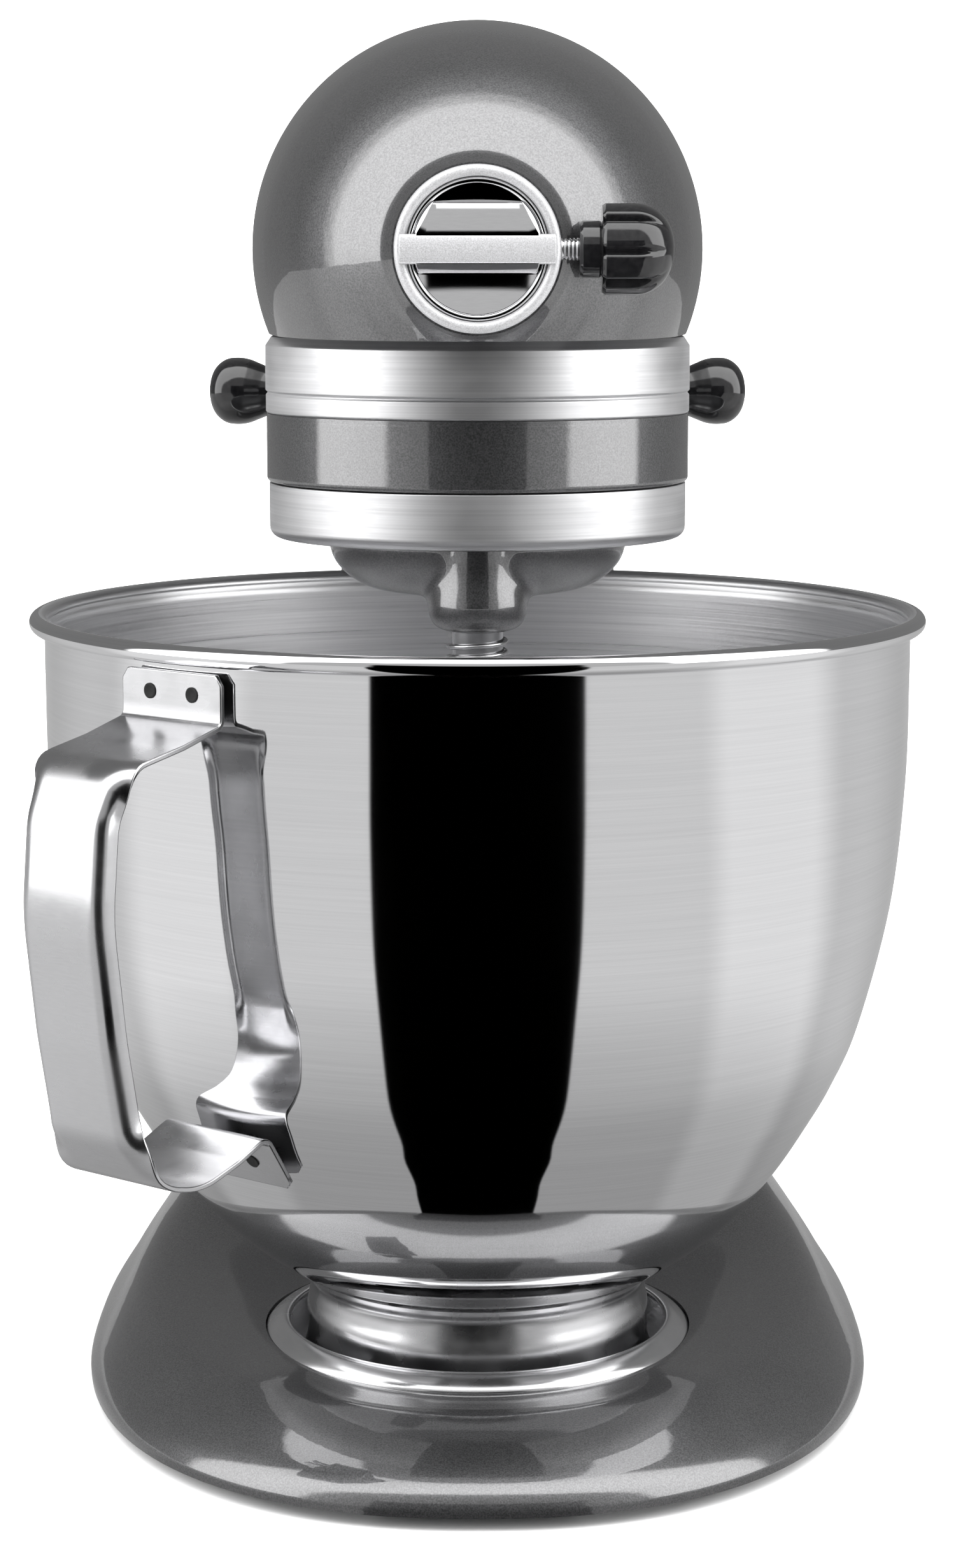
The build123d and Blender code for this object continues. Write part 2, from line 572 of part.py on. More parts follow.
FACE_SHARE = 1 - BEVEL_FACE / CENTER_BEVEL_R
with BuildPart() as bevel_pinion:
    loft(sections=[
        toothed(rightward(CENTER_BEVEL_R, 0, HEAD_Z), 16, BEVEL_R - 0.3, BEVEL_R - 2.4),
        toothed(rightward(CENTER_BEVEL_R * FACE_SHARE, 0, HEAD_Z), 16,
                (BEVEL_R - 0.3) * FACE_SHARE, (BEVEL_R - 2.4) * FACE_SHARE),
    ], ruled=True)
    extrude(disc(rightward(CENTER_BEVEL_R, 0, HEAD_Z), 9), amount=2.4)
    extrude(disc(rightward(5, 0, HEAD_Z), 6.5), amount=11)
    extrude(disc(rightward(0, 0, HEAD_Z), 4), amount=40, mode=Mode.SUBTRACT)
bevel_pinion.part.label = "bevel_pinion"

with BuildPart() as hub_bevel_gear:
    loft(sections=[
        toothed(rearward(-CENTER_BEVEL_R, HEAD_Z), 16, BEVEL_R - 0.3, BEVEL_R - 2.4),
        toothed(rearward(-CENTER_BEVEL_R * FACE_SHARE, HEAD_Z), 16,
                (BEVEL_R - 0.3) * FACE_SHARE, (BEVEL_R - 2.4) * FACE_SHARE),
    ], ruled=True)
    extrude(disc(rearward(-CENTER_BEVEL_R - 4, HEAD_Z), 9), amount=4)
    extrude(disc(rearward(-40, HEAD_Z), 4.5), amount=30, mode=Mode.SUBTRACT)
hub_bevel_gear.part.label = "hub_bevel_gear"

with BuildPart() as hub_drive_shaft:
    extrude(disc(rearward(-46, HEAD_Z), 4.5), amount=29)
    extrude(disc(rearward(-66, HEAD_Z), 9), amount=24)
    extrude(block(rearward(-68, HEAD_Z), 10, 10), amount=18, mode=Mode.SUBTRACT)
hub_drive_shaft.part.label = "hub_drive_shaft"

with BuildPart() as hub_bushing:
    extrude(disc(rearward(-62, HEAD_Z), HUB_BORE_R - 0.5, 9 + FIT), amount=20)
hub_bushing.part.label = "hub_bushing"

with BuildPart() as center_bevel_gear:
    drop = CENTER_BEVEL_R - 0.3
    loft(sections=[
        toothed(level(HEAD_Z - BEVEL_R), 32, drop, drop - 2.6),
        toothed(level(HEAD_Z - BEVEL_R * FACE_SHARE), 32, drop * FACE_SHARE, (drop - 2.6) * FACE_SHARE),
    ], ruled=True)
    extrude(disc(level(277), 21), amount=HEAD_Z - BEVEL_R - 277)
    extrude(disc(level(281), 14.3), amount=20, mode=Mode.SUBTRACT)
    extrude(disc(level(270), SHAFT_R), amount=20, mode=Mode.SUBTRACT)
center_bevel_gear.part.label = "center_bevel_gear"

with BuildPart() as vertical_shaft:
    extrude(disc(level(216), SHAFT_R), amount=66)
vertical_shaft.part.label = "vertical_shaft"

with BuildPart() as planetary_bearings:
    for height in (241, 254):
        extrude(disc(level(height), 12.6, SHAFT_R + FIT), amount=9)
planetary_bearings.part.label = "planetary_bearings"

with BuildPart() as ring_gear:
    pitch = GEAR_MODULE * RING_TEETH / 2
    extrude(disc(level(229.4), 47.6), amount=CASE_BOTTOM - 229.4)
    extrude(toothed(level(229.4), RING_TEETH, pitch + 1.7, pitch - 1.1, tooth_share=0.62),
            amount=CASE_BOTTOM - 229.4, mode=Mode.SUBTRACT)
ring_gear.part.label = "ring_gear"

# ------------------------------------------------------------------ planetary and beater shaft
with BuildPart() as planetary_carrier:
    with BuildSketch(SECTION):
        with BuildLine():
            Line((0, 212), (22, 212.6))
            Spline((22, 212.6), (31.5, 215.6), (36.4, 220.6), (37.2, 225.5), tangents=((1, 0), (0, 1)))
            Polyline((37.2, 225.5), (37.2, 227), (0, 227), (0, 212))
        make_face()
    revolve(axis=BOWL_AXIS)
    extrude(disc(level(226), 10.5), amount=12.6)
    boss = Plane(origin=(0, BOWL_Y - BEATER_OFFSET, 0), x_dir=(1, 0, 0), z_dir=(0, -1, 0))
    revolve(outline(boss, (0, 205), (9, 205), (11.4, 206.2), (12.4, 208.6), (12.4, 212.5),
                    (11.4, 216.5), (10.9, 220), (10.8, 228), (0, 228)), axis=BEATER_AXIS)
    extrude(disc(level(200), SHAFT_R), amount=60, mode=Mode.SUBTRACT)
    extrude(disc(level(200, y=-BEATER_OFFSET), JOURNAL_R + FIT), amount=60, mode=Mode.SUBTRACT)
planetary_carrier.part.label = "planetary_carrier"

with BuildPart() as beater_shaft:
    extrude(disc(level(BEATER_END, y=-BEATER_OFFSET), BEATER_R), amount=73.4)
    chamfer(beater_shaft.edges().sort_by(Axis.Z)[0], 1)
    shoulder = level(BEATER_PIN_Z - BEATER_PIN_R, y=-BEATER_OFFSET)
    extrude(disc(shoulder, BEATER_R + 1, JOURNAL_R), amount=80, mode=Mode.SUBTRACT)
    extrude(disc(shoulder, BEATER_R + 1, JOURNAL_R - 0.3), amount=2 * BEATER_PIN_R, mode=Mode.SUBTRACT)
    cross_hole = disc(rightward(-20, -BEATER_OFFSET, BEATER_PIN_Z), BEATER_PIN_R)
    extrude(cross_hole, amount=40, mode=Mode.SUBTRACT)
beater_shaft.part.label = "beater_shaft"

with BuildPart() as beater_pin:
    extrude(disc(rightward(-10.5, -BEATER_OFFSET, BEATER_PIN_Z), BEATER_PIN_R), amount=21)
beater_pin.part.label = "beater_pin"

with BuildPart() as beater_pinion:
    pitch = GEAR_MODULE * PINION_TEETH / 2
    extrude(toothed(level(229.6, y=-BEATER_OFFSET), PINION_TEETH, pitch + 1.0, pitch - 1.7,
                    hole=JOURNAL_R), amount=8.8)
beater_pinion.part.label = "beater_pinion"

with BuildPart() as beater_spring:
    with BuildLine(level(189.5, y=-BEATER_OFFSET)):
        coil = Helix(pitch=2.6, height=14.2, radius=7.0)
    with BuildSketch(Plane(origin=coil @ 0, z_dir=coil % 0)):
        Circle(0.6)
    sweep(path=coil, is_frenet=True)
    extrude(disc(level(187.6, y=-BEATER_OFFSET), 8.2, JOURNAL_R), amount=1.6)
beater_spring.part.label = "beater_spring"

# ------------------------------------------------------------------ levers
def lever_direction(side):
    angle = math.radians(LEVER_SWEEP)
    return Vector(side * math.cos(angle), math.sin(angle), 0)


def lever_arm(side):
    """Flat steel arm from its pivot out through the slot in the side of the head."""
    along = lever_direction(side)
    plane = Plane(origin=(side * LEVER_X, BOWL_Y + LEVER_Y, KNOB_Z - 1), x_dir=along, z_dir=(0, 0, 1))
    with BuildPart() as arm:
        with BuildSketch(plane):
            Circle(6)
            with Locations((14, 0)):
                Rectangle(28, 7)
            Circle(2.5, mode=Mode.SUBTRACT)
        extrude(amount=2)
    return arm.part


def lever_knob(side):
    """Smooth round-ended knob, moulded over the end of the arm."""
    along = lever_direction(side)
    base = Vector(side * LEVER_X, BOWL_Y + LEVER_Y, KNOB_Z)
    plane = Plane(origin=base, x_dir=along, z_dir=along.cross(Vector(0, 0, 1)))
    with BuildPart() as knob:
        with BuildSketch(plane):
            with BuildLine():
                Polyline((23.6, 0), (23.6, 4.2), (25, 6.6), (27, 8.2))
                Spline((27, 8.2), (33, 9.3), (38.6, 7.2), (41.6, 0), tangents=((1, 0.5), (0, -1)))
                Line((41.6, 0), (23.6, 0))
            make_face()
        revolve(axis=Axis(base, along))
        arm_end = Plane(origin=base - Vector(0, 0, 1), x_dir=along, z_dir=(0, 0, 1))
        with BuildSketch(arm_end):
            with Locations((14, 0)):
                Rectangle(28, 7)
        extrude(amount=2, mode=Mode.SUBTRACT)
    return knob.part


def lever_pivot(side):
    """Post on the gearcase floor that the lever turns on."""
    with BuildPart() as post:
        extrude(disc(level(FLOOR_TOP, side * LEVER_X, LEVER_Y), 5), amount=KNOB_Z - 1.3 - FLOOR_TOP)
        extrude(disc(level(FLOOR_TOP, side * LEVER_X, LEVER_Y), 2.5 - FIT), amount=KNOB_Z + 5 - FLOOR_TOP)
    return post.part


with BuildPart() as speed_lever_arm:
    add(lever_arm(-1))
speed_lever_arm.part.label = "speed_lever_arm"

with BuildPart() as speed_lever_knob:
    add(lever_knob(-1))
speed_lever_knob.part.label = "speed_lever_knob"

with BuildPart() as lock_lever_arm:
    add(lever_arm(1))
lock_lever_arm.part.label = "lock_lever_arm"

with BuildPart() as lock_lever_knob:
    add(lever_knob(1))
lock_lever_knob.part.label = "lock_lever_knob"

with BuildPart() as lever_pivots:
    add(lever_pivot(-1))
    add(lever_pivot(1))
lever_pivots.part.label = "lever_pivots"

with BuildPart() as lock_bolt:
    extrude(disc(rightward(7, 140, PIN_Z), 4), amount=12.6)
    chamfer(lock_bolt.edges().sort_by(Axis.X)[-1], 0.8)
lock_bolt.part.label = "lock_bolt"

with BuildPart() as hinge_bushings:
    for side in (-1, 1):
        extrude(disc(rightward(side * LUG_HALF, PIN_Y, PIN_Z), 6.8, PIN_R + FIT), amount=-side * 12)
hinge_bushings.part.label = "hinge_bushings"

# ------------------------------------------------------------------ bowl
def bowl_profile(inset=0.0):
    """Half section of the bowl's outside, or of its inside where inset is its wall."""
    bottom = 30.4 + inset
    waist = (97.6 - inset, 105.2 + inset * 0.3)
    hip = (72.6 - inset * 0.75, 60.9 + inset * 0.7)
    turn = (60.4 - inset * 0.6, 48.6 + inset * 0.8)
    seat = (44.4 - inset * 0.5, 37.4 + inset * 0.85)
    with BuildSketch(SECTION) as section:
        with BuildLine():
            start = (108.2 - inset, 205)
            upper = Line(start, (107.6 - inset, 165))
            belly = ThreePointArc(upper @ 1, waist, hip)
            toe = ThreePointArc(belly @ 1, turn, seat)
            floor = Spline(toe @ 1, (30, 31.8 + inset), (0, bottom), tangents=((-1, -0.55), (-1, 0)))
            Line(floor @ 1, (0, 205))
            Line((0, 205), start)
        make_face()
    return section.sketch


with BuildPart() as bowl:
    revolve(bowl_profile(), axis=BOWL_AXIS)
    revolve(bowl_profile(BOWL_WALL), axis=BOWL_AXIS, mode=Mode.SUBTRACT)
    with BuildSketch(SECTION):
        with Locations((109.7, 205.7)):
            Circle(2.3)
    revolve(axis=BOWL_AXIS)
bowl.part.label = "bowl"

with BuildPart() as bowl_foot:
    revolve(outline(SECTION, (FOOT_R - 1.4, 36.4), (FOOT_R, 37.2), (FOOT_R - 0.4, 32), (FOOT_R - 0.6, 24),
                    (FOOT_R, 18), (45.2, 15.8), (45.2, 14.4), (FOOT_R - 1.4, 14.4), (FOOT_R - 2, 24),
                    (FOOT_R - 1.8, 32)), axis=BOWL_AXIS)
    # Three lugs that turn in under the hooks of the clamp plate.
    for turn in range(3):
        extrude(arc_strip(14.6, 44.4, 47.6, 120 * turn + 90, 15), amount=3.2)
bowl_foot.part.label = "bowl_foot"

azimuth = math.radians(HANDLE_AZIMUTH)
outward = Vector(-math.sin(azimuth), -math.cos(azimuth), 0)
handle_plane = Plane(origin=(0, BOWL_Y, 0), x_dir=outward, z_dir=outward.cross(Vector(0, 0, 1)))
with BuildPart() as bowl_handle:
    with BuildLine(handle_plane):
        strap = FilletPolyline((109.5, 202), (109.5, 190.5), (138.5, 183), (145.5, 166), (143, 122),
                               (134.5, 87.5), (116, 84.5), (98.5, 93), (86.6, 78.6),
                               radius=[3, 10, 16, 60, 8, 10, 4])
    with BuildSketch(Plane(origin=strap @ 0, x_dir=outward, z_dir=(0, 0, -1))):
        Rectangle(1.8, HANDLE_WIDTH)
    sweep(path=strap)
bowl_handle.part.label = "bowl_handle"

# ------------------------------------------------------------------ write each piece
os.makedirs("parts", exist_ok=True)
export_step(pedestal.part, "parts/pedestal.step")
export_step(rubber_feet.part, "parts/rubber_feet.step")
export_step(bowl_clamp_plate.part, "parts/bowl_clamp_plate.step")
export_step(clamp_plate_screws.part, "parts/clamp_plate_screws.step")
export_step(hinge_pin.part, "parts/hinge_pin.step")
export_step(height_screw.part, "parts/height_screw.step")
export_step(lock_catch.part, "parts/lock_catch.step")
export_step(head_housing.part, "parts/head_housing.step")
export_step(end_cover.part, "parts/end_cover.step")
export_step(end_cover_screw.part, "parts/end_cover_screw.step")
export_step(lower_gearcase.part, "parts/lower_gearcase.step")
export_step(trim_band.part, "parts/trim_band.step")
export_step(drip_ring.part, "parts/drip_ring.step")
export_step(gearcase_screws.part, "parts/gearcase_screws.step")
export_step(cord_grommet.part, "parts/cord_grommet.step")
export_step(attachment_hub.part, "parts/attachment_hub.step")
export_step(hub_cap.part, "parts/hub_cap.step")
export_step(hub_screw.part, "parts/hub_screw.step")
export_step(hub_knob.part, "parts/hub_knob.step")
export_step(motor_stator.part, "parts/motor_stator.step")
export_step(field_windings.part, "parts/field_windings.step")
export_step(armature.part, "parts/armature.step")
export_step(commutator.part, "parts/commutator.step")
export_step(cooling_fan.part, "parts/cooling_fan.step")
export_step(governor.part, "parts/governor.step")
export_step(worm.part, "parts/worm.step")
export_step(motor_bearings.part, "parts/motor_bearings.step")
export_step(front_bearing_plate.part, "parts/front_bearing_plate.step")
export_step(rear_bearing_bracket.part, "parts/rear_bearing_bracket.step")
export_step(brush_holders.part, "parts/brush_holders.step")
export_step(carbon_brushes.part, "parts/carbon_brushes.step")
export_step(brush_caps.part, "parts/brush_caps.step")
export_step(speed_control_plate.part, "parts/speed_control_plate.step")
export_step(worm_gear_bracket.part, "parts/worm_gear_bracket.step")
export_step(worm_gear_shaft.part, "parts/worm_gear_shaft.step")
export_step(worm_gear.part, "parts/worm_gear.step")
export_step(bevel_pinion.part, "parts/bevel_pinion.step")
export_step(hub_bevel_gear.part, "parts/hub_bevel_gear.step")
export_step(hub_drive_shaft.part, "parts/hub_drive_shaft.step")
export_step(hub_bushing.part, "parts/hub_bushing.step")
export_step(center_bevel_gear.part, "parts/center_bevel_gear.step")
export_step(vertical_shaft.part, "parts/vertical_shaft.step")
export_step(planetary_bearings.part, "parts/planetary_bearings.step")
export_step(ring_gear.part, "parts/ring_gear.step")
export_step(planetary_carrier.part, "parts/planetary_carrier.step")
export_step(beater_shaft.part, "parts/beater_shaft.step")
export_step(beater_pin.part, "parts/beater_pin.step")
export_step(beater_pinion.part, "parts/beater_pinion.step")
export_step(beater_spring.part, "parts/beater_spring.step")
export_step(speed_lever_arm.part, "parts/speed_lever_arm.step")
export_step(speed_lever_knob.part, "parts/speed_lever_knob.step")
export_step(lock_lever_arm.part, "parts/lock_lever_arm.step")
export_step(lock_lever_knob.part, "parts/lock_lever_knob.step")
export_step(lever_pivots.part, "parts/lever_pivots.step")
export_step(lock_bolt.part, "parts/lock_bolt.step")
export_step(hinge_bushings.part, "parts/hinge_bushings.step")
export_step(bowl.part, "parts/bowl.step")
export_step(bowl_foot.part, "parts/bowl_foot.step")
export_step(bowl_handle.part, "parts/bowl_handle.step")
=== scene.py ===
import json
import math

import bmesh
import bpy
import numpy as np
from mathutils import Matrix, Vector


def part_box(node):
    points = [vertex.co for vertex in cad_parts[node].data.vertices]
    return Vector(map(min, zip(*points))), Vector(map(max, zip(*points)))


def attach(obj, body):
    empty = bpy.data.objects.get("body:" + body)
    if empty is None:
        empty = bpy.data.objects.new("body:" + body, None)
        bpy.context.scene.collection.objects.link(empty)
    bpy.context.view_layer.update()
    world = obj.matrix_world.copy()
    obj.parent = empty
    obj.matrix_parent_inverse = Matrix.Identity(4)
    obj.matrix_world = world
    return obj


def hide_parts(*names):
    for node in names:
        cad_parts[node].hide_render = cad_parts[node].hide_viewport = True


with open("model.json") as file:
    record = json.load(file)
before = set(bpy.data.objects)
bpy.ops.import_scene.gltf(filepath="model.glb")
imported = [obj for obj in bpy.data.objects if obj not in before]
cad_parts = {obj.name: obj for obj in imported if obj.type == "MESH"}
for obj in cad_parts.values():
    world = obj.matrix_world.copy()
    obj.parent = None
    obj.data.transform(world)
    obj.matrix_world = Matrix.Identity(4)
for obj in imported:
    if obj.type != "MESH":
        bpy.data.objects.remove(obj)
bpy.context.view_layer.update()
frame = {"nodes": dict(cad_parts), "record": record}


# ------------------------------------------------------------------ places taken from the frame
def middle(node):
    """Middle of a node's box."""
    low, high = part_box(node)
    return (Vector(low) + Vector(high)) / 2


MM = 0.001
BOWL_Y = middle("bowl").y
HEAD_Z = middle("attachment_hub").z
# Heights, and distances from the bowl's axis or the hub's, in mm.
HEAD_R = (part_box("head_housing")[1][2] - HEAD_Z) / MM
BAND_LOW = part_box("trim_band")[0][2] / MM
BAND_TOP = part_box("head_housing")[0][2] / MM
CASE_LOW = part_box("drip_ring")[1][2] / MM
DRIP_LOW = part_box("drip_ring")[0][2] / MM
HEAD_REAR = (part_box("end_cover")[1][1] - BOWL_Y) / MM
BEATER_Y = (middle("beater_shaft").y - BOWL_Y) / MM
FRONT_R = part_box("lower_gearcase")[1][0] / MM
HUB_FACE = (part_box("attachment_hub")[0][1] - BOWL_Y) / MM
REAR_START = 174.0       # where the head's straight sides end and its round rear begins
COVER_SEAM = 168.2       # joint between the head's housing and its end cover
LEVER_X = 34.0           # pivots of the two small levers
LEVER_Y = 98.0
LEVER_SLOT_Y = 103.0     # windows that the levers come out of
LEVER_SLOT_Z = 258.0
LEVER_SLOT_HEIGHT = 7.2
CLAMP_R = 54.9           # recess of the bowl clamp in the platform

X_AXIS = Vector((1, 0, 0))
Y_AXIS = Vector((0, 1, 0))
Z_AXIS = Vector((0, 0, 1))
BOWL_CENTRE = Vector((0, BOWL_Y, 0))
HEAD_CENTRE = Vector((0, BOWL_Y, HEAD_Z))


# ------------------------------------------------------------------ outlines
def rounded(points, radii, steps=8):
    """Polyline with its inner corners rounded; radii has one value for each inner corner."""
    path = [Vector(points[0])]
    for before, corner, after, radius in zip(points, points[1:], points[2:], radii):
        before, corner, after = Vector(before), Vector(corner), Vector(after)
        back = (before - corner).normalized()
        on = (after - corner).normalized()
        half = back.angle(on) / 2
        if radius <= 0 or half > math.radians(89.5):
            path.append(corner)
            continue
        reach = radius / math.tan(half)
        centre = corner + (back + on).normalized() * (radius / math.sin(half))
        start = corner + back * reach - centre
        end = corner + on * reach - centre
        turn = start.angle(end)
        for step in range(steps + 1):
            part = step / steps
            spoke = (start * math.sin((1 - part) * turn) + end * math.sin(part * turn)) / math.sin(turn)
            path.append(centre + spoke)
    path.append(Vector(points[-1]))
    return path


def guarded(path, gap=0.25):
    """The same path with points added close to each corner, so that shading stays flat between them."""
    kept = [Vector(path[0])]
    for before, after in zip(path, path[1:]):
        before, after = Vector(before), Vector(after)
        length = (after - before).length
        if length > 4 * gap:
            kept.append(before.lerp(after, gap / length))
            kept.append(after.lerp(before, gap / length))
        kept.append(after)
    return kept


def smooth_curve(points, steps=10):
    """Catmull-Rom curve through the points."""
    points = [Vector(p) for p in points]
    curve = []
    for span in range(len(points) - 1):
        p1, p2 = points[span], points[span + 1]
        p0 = points[span - 1] if span else p1 * 2 - p2
        p3 = points[span + 2] if span + 2 < len(points) else p2 * 2 - p1
        for step in range(steps):
            t = step / steps
            curve.append(
                0.5 * (2 * p1 + (p2 - p0) * t + (2 * p0 - 5 * p1 + 4 * p2 - p3) * t * t
                       + (3 * p1 - p0 - 3 * p2 + p3) * t ** 3)
            )
    curve.append(points[-1])
    return curve


def arc(centre, radius, start, end, steps=10):
    """Points of an arc from one angle to another, in degrees."""
    return [
        Vector((
            centre[0] + radius * math.cos(math.radians(start + (end - start) * k / steps)),
            centre[1] + radius * math.sin(math.radians(start + (end - start) * k / steps)),
        ))
        for k in range(steps + 1)
    ]


# ------------------------------------------------------------------ mesh builders
def add_piece(name, verts, faces, material, body, replaces=(), flat_angle=35):
    """Mesh piece from points and faces, riding on a body."""
    mesh = bpy.data.meshes.new(name)
    mesh.from_pydata([Vector(v) for v in verts], [], faces)
    mesh.validate()
    return finish_piece(name, mesh, material, body, replaces, flat_angle)


def finish_piece(name, mesh, material, body, replaces=(), flat_angle=35):
    """Clean a mesh, give it its material and shading, and tie the piece to the frame."""
    cleanup = bmesh.new()
    cleanup.from_mesh(mesh)
    bmesh.ops.remove_doubles(cleanup, verts=cleanup.verts, dist=1e-6)
    bmesh.ops.recalc_face_normals(cleanup, faces=cleanup.faces)
    cleanup.to_mesh(mesh)
    cleanup.free()
    piece = bpy.data.objects.new(name, mesh)
    bpy.context.scene.collection.objects.link(piece)
    mesh.materials.append(material)
    shade(mesh, flat_angle)
    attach(piece, body)
    if replaces:
        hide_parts(*replaces)
    return piece


def shade(mesh, flat_angle=35):
    """Smooth shading, with edges sharper than flat_angle kept sharp."""
    work = bmesh.new()
    work.from_mesh(mesh)
    for face in work.faces:
        face.smooth = True
    for edge in work.edges:
        sharp = len(edge.link_faces) == 2 and edge.calc_face_angle(0) > math.radians(flat_angle)
        edge.smooth = not sharp
    work.to_mesh(mesh)
    work.free()


def lathe_data(profile, origin, axis, segments=128, closed=False, wobble=None):
    """Turned surface: profile points are (distance from the axis, distance along it), in mm."""
    axis = Vector(axis)
    first = Z_AXIS if abs(axis.z) < 0.9 else X_AXIS
    side = (first - axis * first.dot(axis)).normalized()
    other = axis.cross(side)
    verts, faces = [], []
    count = len(profile)
    for index in range(segments):
        angle = 2 * math.pi * index / segments
        spoke = side * math.cos(angle) + other * math.sin(angle)
        for radius, along in profile:
            factor = wobble(angle, along, radius) if wobble else 1.0
            verts.append(Vector(origin) + axis * along * MM + spoke * radius * factor * MM)
    loops = count if closed else count - 1
    for index in range(segments):
        here, there = index * count, (index + 1) % segments * count
        for row in range(loops):
            following = (row + 1) % count
            faces.append((here + row, here + following, there + following, there + row))
    if not closed:
        for row in (0, count - 1):
            if profile[row][0] > 1e-6:
                faces.append(tuple(index * count + row for index in range(segments)))
    return verts, faces


def lathe(name, profile, origin, axis, material, body, replaces=(), segments=128,
          closed=False, wobble=None, flat_angle=35):
    """Turned piece; an open profile gets a disc at each end that is off the axis."""
    verts, faces = lathe_data(profile, origin, axis, segments, closed, wobble)
    return add_piece(name, verts, faces, material, body, replaces, flat_angle)


def head_plan(steps=96, side_steps=16):
    """Level outline of the head's lower part, as points and outward normals, in mm."""
    half = FRONT_R
    rear = HEAD_REAR - 3.0 - REAR_START
    points = []
    for k in range(steps + 1):
        angle = math.pi + math.pi * k / steps
        points.append(Vector((half * math.cos(angle), half * math.sin(angle), 0)))
    for k in range(1, side_steps):
        points.append(Vector((half, REAR_START * k / side_steps, 0)))
    for k in range(steps + 1):
        angle = math.pi * k / steps
        points.append(Vector((half * math.cos(angle), REAR_START + rear * math.sin(angle), 0)))
    for k in range(1, side_steps):
        points.append(Vector((-half, REAR_START * (1 - k / side_steps), 0)))
    normals = []
    for index, point in enumerate(points):
        along = points[(index + 1) % len(points)] - points[index - 1]
        normals.append(Vector((along.y, -along.x, 0)).normalized())
    return points, normals


def plan_sweep_data(profile):
    """Closed ring round the head: profile points are (distance outside the plan, height), in mm."""
    points, normals = head_plan()
    verts, faces = [], []
    count = len(profile)
    for point, normal in zip(points, normals):
        for out, height in profile:
            place = BOWL_CENTRE / MM + point + normal * out
            verts.append(Vector((place.x, place.y, height)) * MM)
    total = len(points)
    for index in range(total):
        here, there = index * count, (index + 1) % total * count
        for row in range(count):
            following = (row + 1) % count
            faces.append((here + row, there + row, there + following, here + following))
    return verts, faces


def loft_faces(rows, count):
    """Faces between rows of count points that close round, with the first and last rows filled."""
    faces = []
    for row in range(rows - 1):
        here, there = row * count, (row + 1) * count
        for k in range(count):
            following = (k + 1) % count
            faces.append((here + k, here + following, there + following, there + k))
    faces.append(tuple(range(count)))
    faces.append(tuple((rows - 1) * count + k for k in range(count)))
    return faces


def soften_edges(piece, width, segments, angle):
    """Round every edge sharper than angle, in degrees; the width is in mm."""
    soften = piece.modifiers.new("edges", "BEVEL")
    soften.width = width * MM
    soften.segments = segments
    soften.limit_method = "ANGLE"
    soften.angle_limit = math.radians(angle)


def cutter(name, verts, faces):
    """Closed tool for cut(), which removes it again."""
    mesh = bpy.data.meshes.new(name)
    mesh.from_pydata([Vector(v) for v in verts], [], faces)
    work = bmesh.new()
    work.from_mesh(mesh)
    bmesh.ops.recalc_face_normals(work, faces=work.faces)
    work.to_mesh(mesh)
    work.free()
    tool = bpy.data.objects.new(name, mesh)
    bpy.context.scene.collection.objects.link(tool)
    return tool


def box_cutter(centre, size):
    """Box tool; centre and size are in mm."""
    x, y, z = (s / 2 * MM for s in size)
    corners = [Vector(centre) * MM + Vector((sx * x, sy * y, sz * z))
               for sx in (-1, 1) for sy in (-1, 1) for sz in (-1, 1)]
    faces = [(0, 1, 3, 2), (4, 6, 7, 5), (0, 4, 5, 1), (2, 3, 7, 6), (0, 2, 6, 4), (1, 5, 7, 3)]
    return cutter("cutter", corners, faces)


def lever_slots(middle_x, width):
    """Tools for the windows that the levers come out of, one on each side."""
    y = BOWL_Y / MM + LEVER_SLOT_Y
    return [box_cutter((side * middle_x, y, LEVER_SLOT_Z), (width, 40, LEVER_SLOT_HEIGHT))
            for side in (-1, 1)]


def apply_modifiers(piece):
    """Keep the shape that the modifiers make, and drop them."""
    graph = bpy.context.evaluated_depsgraph_get()
    graph.update()
    mesh = bpy.data.meshes.new_from_object(piece.evaluated_get(graph))
    piece.modifiers.clear()
    piece.data = mesh
    return piece


def cut(piece, tools, flat_angle=35):
    """Cut the tools' shapes out of a piece."""
    for tool in tools:
        carve = piece.modifiers.new("cut", "BOOLEAN")
        carve.operation = "DIFFERENCE"
        carve.object = tool
        carve.solver = "EXACT"
    bpy.context.view_layer.update()
    apply_modifiers(piece)
    for tool in tools:
        bpy.data.objects.remove(tool)
    shade(piece.data, flat_angle)
    return piece


